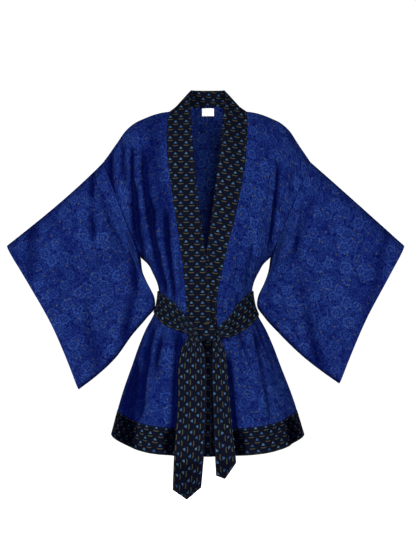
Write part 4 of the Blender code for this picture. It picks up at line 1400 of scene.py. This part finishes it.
# %% The two hanging ends
# Below the hem both ends lie in more shade
TAIL_SHADE = 0.42
SHADE_TOP, SHADE_SPAN = -0.806, 0.022
TAIL_STEPS, TAIL_COLUMNS = 92, 17
steps = np.linspace(0.0, 1.0, TAIL_STEPS)[:, None]
tails = {}
for side, sign in SIGNS.items():
    points = tail_point(side, steps, np.linspace(0.0, 1.0, TAIL_COLUMNS))
    cut = straight_cut(points)
    cut = np.stack([-sign * cut[..., 1], sign * cut[..., 0]], axis=-1) + PRINT_SHIFT["tail"]
    painted_shade = TAIL_SHADE * ease((SHADE_TOP - points[..., 2]) / SHADE_SPAN)
    tails[side] = sewn_piece(
        "belt_tail_" + side, [(points, cut, painted_shade)], "dark_trim_cloth", flip=True
    )

# %% The knot
# Creases that lead the arm in: line (x1, z1, x2, z2), bow, steep, slack, rise and fade
KNOT_CREASES = (
    ((-0.018, 0.014, -0.006, -0.016), 0.002, 0.0020, 0.0028, -0.0030, 0.006),
    ((-0.016, 0.018, 0.012, 0.010), 0.003, 0.0022, 0.0030, -0.0022, 0.008),
)


def knot_point(around, up):
    """The knot's loop at an angle and a height from -1 to 1.

    A rounded block: x and y are the half sizes times signed powers of cosine and sine, taper
    narrows it downwards, crown closes it at the top and foot. Creases of 0.7 mm run up it,
    and two deeper ones at its left lead the arm in.
    """
    taper = 1.0 - np.where(up < 0.0, KNOT_TAPER["below"], KNOT_TAPER["above"]) * up**2
    shape = 1.0 - KNOT_CROWN * np.abs(up) ** 3
    side, front = (np.sign(w) * np.abs(w) ** KNOT_SQUARE for w in (np.cos(around), np.sin(around)))
    x = KNOT_HALF[0] * taper * side
    z = KNOT_HALF[2] * up
    ripple = 0.0007 * np.sin(9.0 * around + 2.4 * up)
    for line in KNOT_CREASES:
        ripple = ripple + crease(x, z, *line)
    seen = np.clip(-np.sin(around), 0.0, 1.0) ** 0.5
    lift = front_depth(*KNOT_CENTRE) + KNOT_LIFT
    y = KNOT_HALF[1] * shape * front - ripple * seen - lift
    return np.stack([KNOT_CENTRE[0] + x, y, KNOT_CENTRE[1] + z], axis=-1)


# %% Close the knot and place it
KNOT_AROUND, KNOT_UP, KNOT_CAP = 73, 41, 6
around = np.linspace(0.0, 2 * pi, KNOT_AROUND)
up = np.sin(np.linspace(-pi / 2, pi / 2, KNOT_UP))[:, None]
points = knot_point(around, up + 0.0 * around)
foot, crown = points[:1].mean(axis=1, keepdims=True), points[-1:].mean(axis=1, keepdims=True)
ring = np.linspace(0.0, 1.0, KNOT_CAP)[:-1, None, None]
below = foot + (points[:1] - foot) * ring
above = crown + (points[-1:] - crown) * ring[::-1]
points = np.concatenate([below, points, above], axis=0)
cut = np.stack([points[..., 0], points[..., 2]], axis=-1) + PRINT_SHIFT["knot"]
knot = sewn_piece("belt_knot", [(points, cut)], "dark_trim_cloth", join=True, closed=True)

# %% [markdown]
# ## Label
#
# A small white label is sewn inside the back of the neck by its upper edge. It stays blank.

# %% The blank label
LABEL_HALF = 0.016
# Half the cloth's wall, the room between and half the label's wall, as in the solids
LABEL_LIFT = 0.00075 + 0.0009 + 0.0005
LABEL_ROWS = (0.007, 0.045)
xs = np.linspace(-LABEL_HALF, LABEL_HALF, 25)
turns = np.arcsin(xs / DROP_SEAM_TOP[0])
share = np.linspace(0.0, 1.0, 15)[:, None]
rows = neck_row(turns) + LABEL_ROWS[0] + (LABEL_ROWS[1] - LABEL_ROWS[0]) * share
curl = 0.0006 * share**2 + 0.0002 * np.sin(9.0 * share) * np.cos(90.0 * xs)
points = body_point(turns, rows, BACK, -LABEL_LIFT - curl, False)
label = sewn_piece("neck_label", [(points, flat_cut(points))], "label_cloth")

# %% [markdown]
# ## Stitches
#
# A row of stitches is one mesh: a small spindle is repeated along a line on the cloth. The
# line is resampled to even steps, and each spindle is turned along it and sunk a little into
# the cloth. They hold the bands, the cuffs, the belt's edges and the label.

# %% One row of stitches
RING = 5


def spindle():
    """Unit spindle along x: rings of radius 0.05, 0.8, 1, 0.8, 0.05 at x = -0.5 to 0.5."""
    x = np.array([-0.5, -0.3, 0.0, 0.3, 0.5])[:, None]
    radius = np.array([0.05, 0.8, 1.0, 0.8, 0.05])[:, None]
    angle = np.linspace(0.0, 2 * pi, RING + 1)[:-1]
    return np.stack([x + 0.0 * angle, radius * np.cos(angle), radius * np.sin(angle)], axis=-1)


def along_line(line, normals, pitch):
    """Middles, directions and normals of the stitches at even steps along a line."""
    length = running(np.linalg.norm(np.diff(line, axis=0), axis=1))
    at = np.arange(pitch / 2, length[-1], pitch)

    def read(where, values):
        return np.stack([np.interp(where, length, column) for column in values.T], axis=-1)

    way = unit(read(at + pitch / 4, line) - read(at - pitch / 4, line))
    up = read(at, normals)
    return read(at, line), way, unit(up - (up * way).sum(axis=1, keepdims=True) * way)


def stitch_rows(name, lines, material, pitch=0.0032, length=0.0022, radius=0.00028):
    """Stitch object: point = middle + length * x * way + radius * (y * side + z * up)."""
    shape = spindle()
    number = np.arange(shape[..., 0].size).reshape(shape.shape[:2])
    beside = np.roll(number, -1, axis=1)
    faces = np.stack([beside[:-1], beside[1:], number[1:], number[:-1]], axis=-1).reshape(-1, 4)
    x, y, z = np.split(shape.reshape(-1, 3), 3, axis=1)
    placed = zip(*(along_line(line, normals, pitch) for line, normals in lines))
    middle, way, up = (np.concatenate(values)[:, None] for values in placed)
    points = middle + length * x * way + radius * (y * np.cross(up, way) + z * up)
    corners = faces + number.size * np.arange(len(points))[:, None, None]
    mesh = make_mesh(name, points.reshape(-1, 3), corners.reshape(-1, 4), material)
    row = add_object(name, mesh)
    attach(row, "root")
    print(name, len(points), "stitches")


# %% A line on a surface
TRIM_TOP = TRIM_WALL / 2 + 0.0001
CLOTH_TOP = CLOTH_WALL / 2 + 0.0001
EDGE_SHARES = (0.07, 0.93)
OUTWARDS = {FRONT: np.array([0.0, -1.0, 0.0]), BACK: np.array([0.0, 1.0, 0.0])}


def sewn_line(line_at, share, gap, outward, height):
    """The line line_at(share) on a surface, raised by height, and the normal along it.

    The normal is the cross product of the steps along the line and of those across it, from
    the lines a gap before and after it, turned to outward.
    """
    before, line, after = (line_at(at) for at in (share - gap, share, share + gap))
    normal = unit(np.cross(np.gradient(line, axis=0), after - before))
    normal = normal * np.sign((normal * outward).sum(axis=1, keepdims=True))
    return line + normal * height, normal


# %% Stitches of the neckband
def band_line(side):
    """Lines down the band on one front, by their share of its width."""
    return lambda share: band_front(side, band_rows(), share)[:, 0]


def neck_line(share):
    """A line of the band round the back neck."""
    return band_back(neck_turns(), share)[:, 0]


lines = [
    sewn_line(band_line(side), share, 0.02, OUTWARDS[FRONT], TRIM_TOP)
    for side in SIGNS
    for share in EDGE_SHARES
]
lines += [sewn_line(neck_line, share, 0.02, OUTWARDS[FRONT], TRIM_TOP) for share in (0.09, 0.93)]
stitch_rows("neckband_stitches", lines, DARK_THREAD)

# %% Stitches of the hem band
def hem_line(side):
    """Lines along one hem band, by their row."""
    if side == "back":
        return lambda row: body_point(back_turns(), row, BACK)

    def line_at(row):
        row = np.array([row])
        inner = turn_of(seam_x(row, side) + SIGNS[side] * 0.002, row)
        return body_point(front_turns(side, inner, 90)[0], row, FRONT)

    return line_at


lines = [
    sewn_line(hem_line(side), row, 0.004, OUTWARDS[BACK if side == "back" else FRONT], TRIM_TOP)
    for row in (HEM_BAND_ROW + 0.006, 1.993)
    for side in ("back", "right", "left")
]
stitch_rows("hem_stitches", lines, DARK_THREAD)

# %% Stitches of the cuffs
def cuff_line(side, face):
    """Lines round one face of a sleeve, by their place along it."""
    return lambda along: sleeve_point(side, along, np.linspace(0.015, 0.985, 90), face)


lines = [
    sewn_line(cuff_line(side, face), 0.960, 0.005, OUTWARDS[face], CLOTH_TOP)
    for side in SIGNS
    for face in (FRONT, BACK)
]
stitch_rows("cuff_stitches", lines, BLUE_THREAD)

# %% Stitches of the belt
def belt_lines(side):
    """Two lines along half of the belt, two down its hanging end and one along its foot."""
    turns = belt_turns(side, 90, 0.01)
    away = np.where(turns[:, None] < 1.0, OUTWARDS[FRONT], OUTWARDS[BACK])
    away = away + np.array([SIGNS[side] * 0.8, 0.0, 0.0])
    steps, shares = np.linspace(0.04, 0.985, 120), np.linspace(0.06, 0.94, 40)
    for share in EDGE_SHARES:
        yield sewn_line(lambda at: belt_point(turns, at, side), share, 0.02, away, TRIM_TOP)
    ahead = (OUTWARDS[FRONT], TRIM_TOP)
    for share in (0.06, 0.94):
        yield sewn_line(lambda at: tail_point(side, steps, at), share, 0.02, *ahead)
    yield sewn_line(lambda at: tail_point(side, at, shares), 0.985, 0.005, *ahead)


lines = [line for side in SIGNS for line in belt_lines(side)]
stitch_rows("belt_stitches", lines, DARK_THREAD)

# %% Stitches of the label
def label_line(lower):
    """A line across the label, by its row below the label's upper edge."""
    turns = np.arcsin(np.linspace(-LABEL_HALF + 0.001, LABEL_HALF - 0.001, 20) / DROP_SEAM_TOP[0])
    return body_point(turns, neck_row(turns) + LABEL_ROWS[0] + lower, BACK, -LABEL_LIFT, False)


lines = [sewn_line(label_line, 0.0015, 0.001, OUTWARDS[FRONT], 0.0005)]
stitch_rows(
    "label_stitches", lines, LABEL, pitch=0.0018, length=0.0012, radius=0.00018
)

# %% [markdown]
# ## The area of each sheet
#
# A maker cuts rectangles for most of this robe. The area of each piece's surface is printed
# below; the belt and the bands are doubled cloth, sewn as
# one thick strip here.

def surface_area(piece):
    """Area of a piece's open surface in square metres: the sum of its cells."""
    areas = np.zeros(len(piece.data.polygons))
    piece.data.polygons.foreach_get("area", areas)
    return float(areas.sum())


for piece in (*fronts.values(), back, *sleeves.values(), neckband, *hem_bands.values(),
              belt_wrap, *tails.values(), knot, label):
    print(piece.name, "surface", round(surface_area(piece), 4), "m2")

# %% [markdown]
# ## Stage, light and camera
#
# A plain pale floor lies below the hem, at a wearer's feet. The light is soft and comes from
# the front and above, a little from the left, so the long troughs show; two more lights behind
# the robe do the same for its back. The camera stands level with the middle of the robe,
# 3.2 m in front of it.

# %% The floor
FLOOR_HEIGHT = -1.45
FLOOR_RADIUS = 14.0


def floor_surface():
    """A disc: radius r from 0 to its full size, angle a round it, at one height."""
    r = np.linspace(0.02, 1.0, 12)[:, None] ** 2 * FLOOR_RADIUS
    a = np.linspace(0.0, 2 * pi, 65)
    return np.stack([r * np.cos(a), r * np.sin(a), FLOOR_HEIGHT + 0.0 * r * a], axis=-1)


pale = bpy.data.materials.new("pale_floor")
pale.use_nodes = True
shader = pale.node_tree.nodes["Principled BSDF"]
shader.inputs["Base Color"].default_value = (0.97, 0.97, 0.97, 1.0)
shader.inputs["Roughness"].default_value = 0.9
disc = floor_surface()
floor_mesh = make_mesh("floor", disc.reshape(-1, 3), grid_faces(*disc.shape[:2]), pale)
floor = add_object("floor", floor_mesh)
print("floor at, m:", FLOOR_HEIGHT)

# %% The light
# Name, place, size in metres and power in watts; all are turned to the chest
LIGHTS = [
    ("key", (-1.7, -2.8, 0.8), 0.8, 160.0),
    ("fill", (0.35, -3.4, 0.1), 0.7, 180.0),
    ("back_key", (1.7, 2.8, 0.8), 0.8, 190.0),
    ("back_fill", (-0.35, 3.4, 0.1), 0.7, 130.0),
]
AIM = Vector((0.0, 0.0, -0.4))
for name, place, size, power in LIGHTS:
    lamp = bpy.data.lights.new(name, "AREA")
    lamp.size = size
    lamp.energy = power
    holder = add_object(name, lamp)
    holder.location = place
    holder.rotation_euler = (AIM - Vector(place)).to_track_quat("-Z", "Y").to_euler()
world = bpy.data.worlds.new("studio")
bpy.context.scene.world = world
world.use_nodes = True
world.node_tree.nodes["Background"].inputs["Color"].default_value = (1.0, 1.0, 1.0, 1.0)
world.node_tree.nodes["Background"].inputs["Strength"].default_value = 1.04
bpy.context.scene.view_settings.view_transform = "Standard"
print("lights:", [name for name, *_ in LIGHTS])

# %% The camera
CAMERA_DISTANCE = 3.2
CAMERA_HEIGHT = -0.3816
PHOTO_HEIGHT = 542
METRES_PER_PIXEL = 0.0024
SENSOR = 36.0
camera_data = bpy.data.cameras.new("camera")
camera_data.sensor_width = SENSOR
camera_data.lens = SENSOR * CAMERA_DISTANCE / (PHOTO_HEIGHT * METRES_PER_PIXEL)
camera = add_object("camera", camera_data)
camera.location = (0.0, -CAMERA_DISTANCE, CAMERA_HEIGHT)
camera.rotation_euler = (pi / 2, 0.0, 0.0)
bpy.context.scene.camera = camera
print("lens, mm:", round(camera_data.lens, 2))
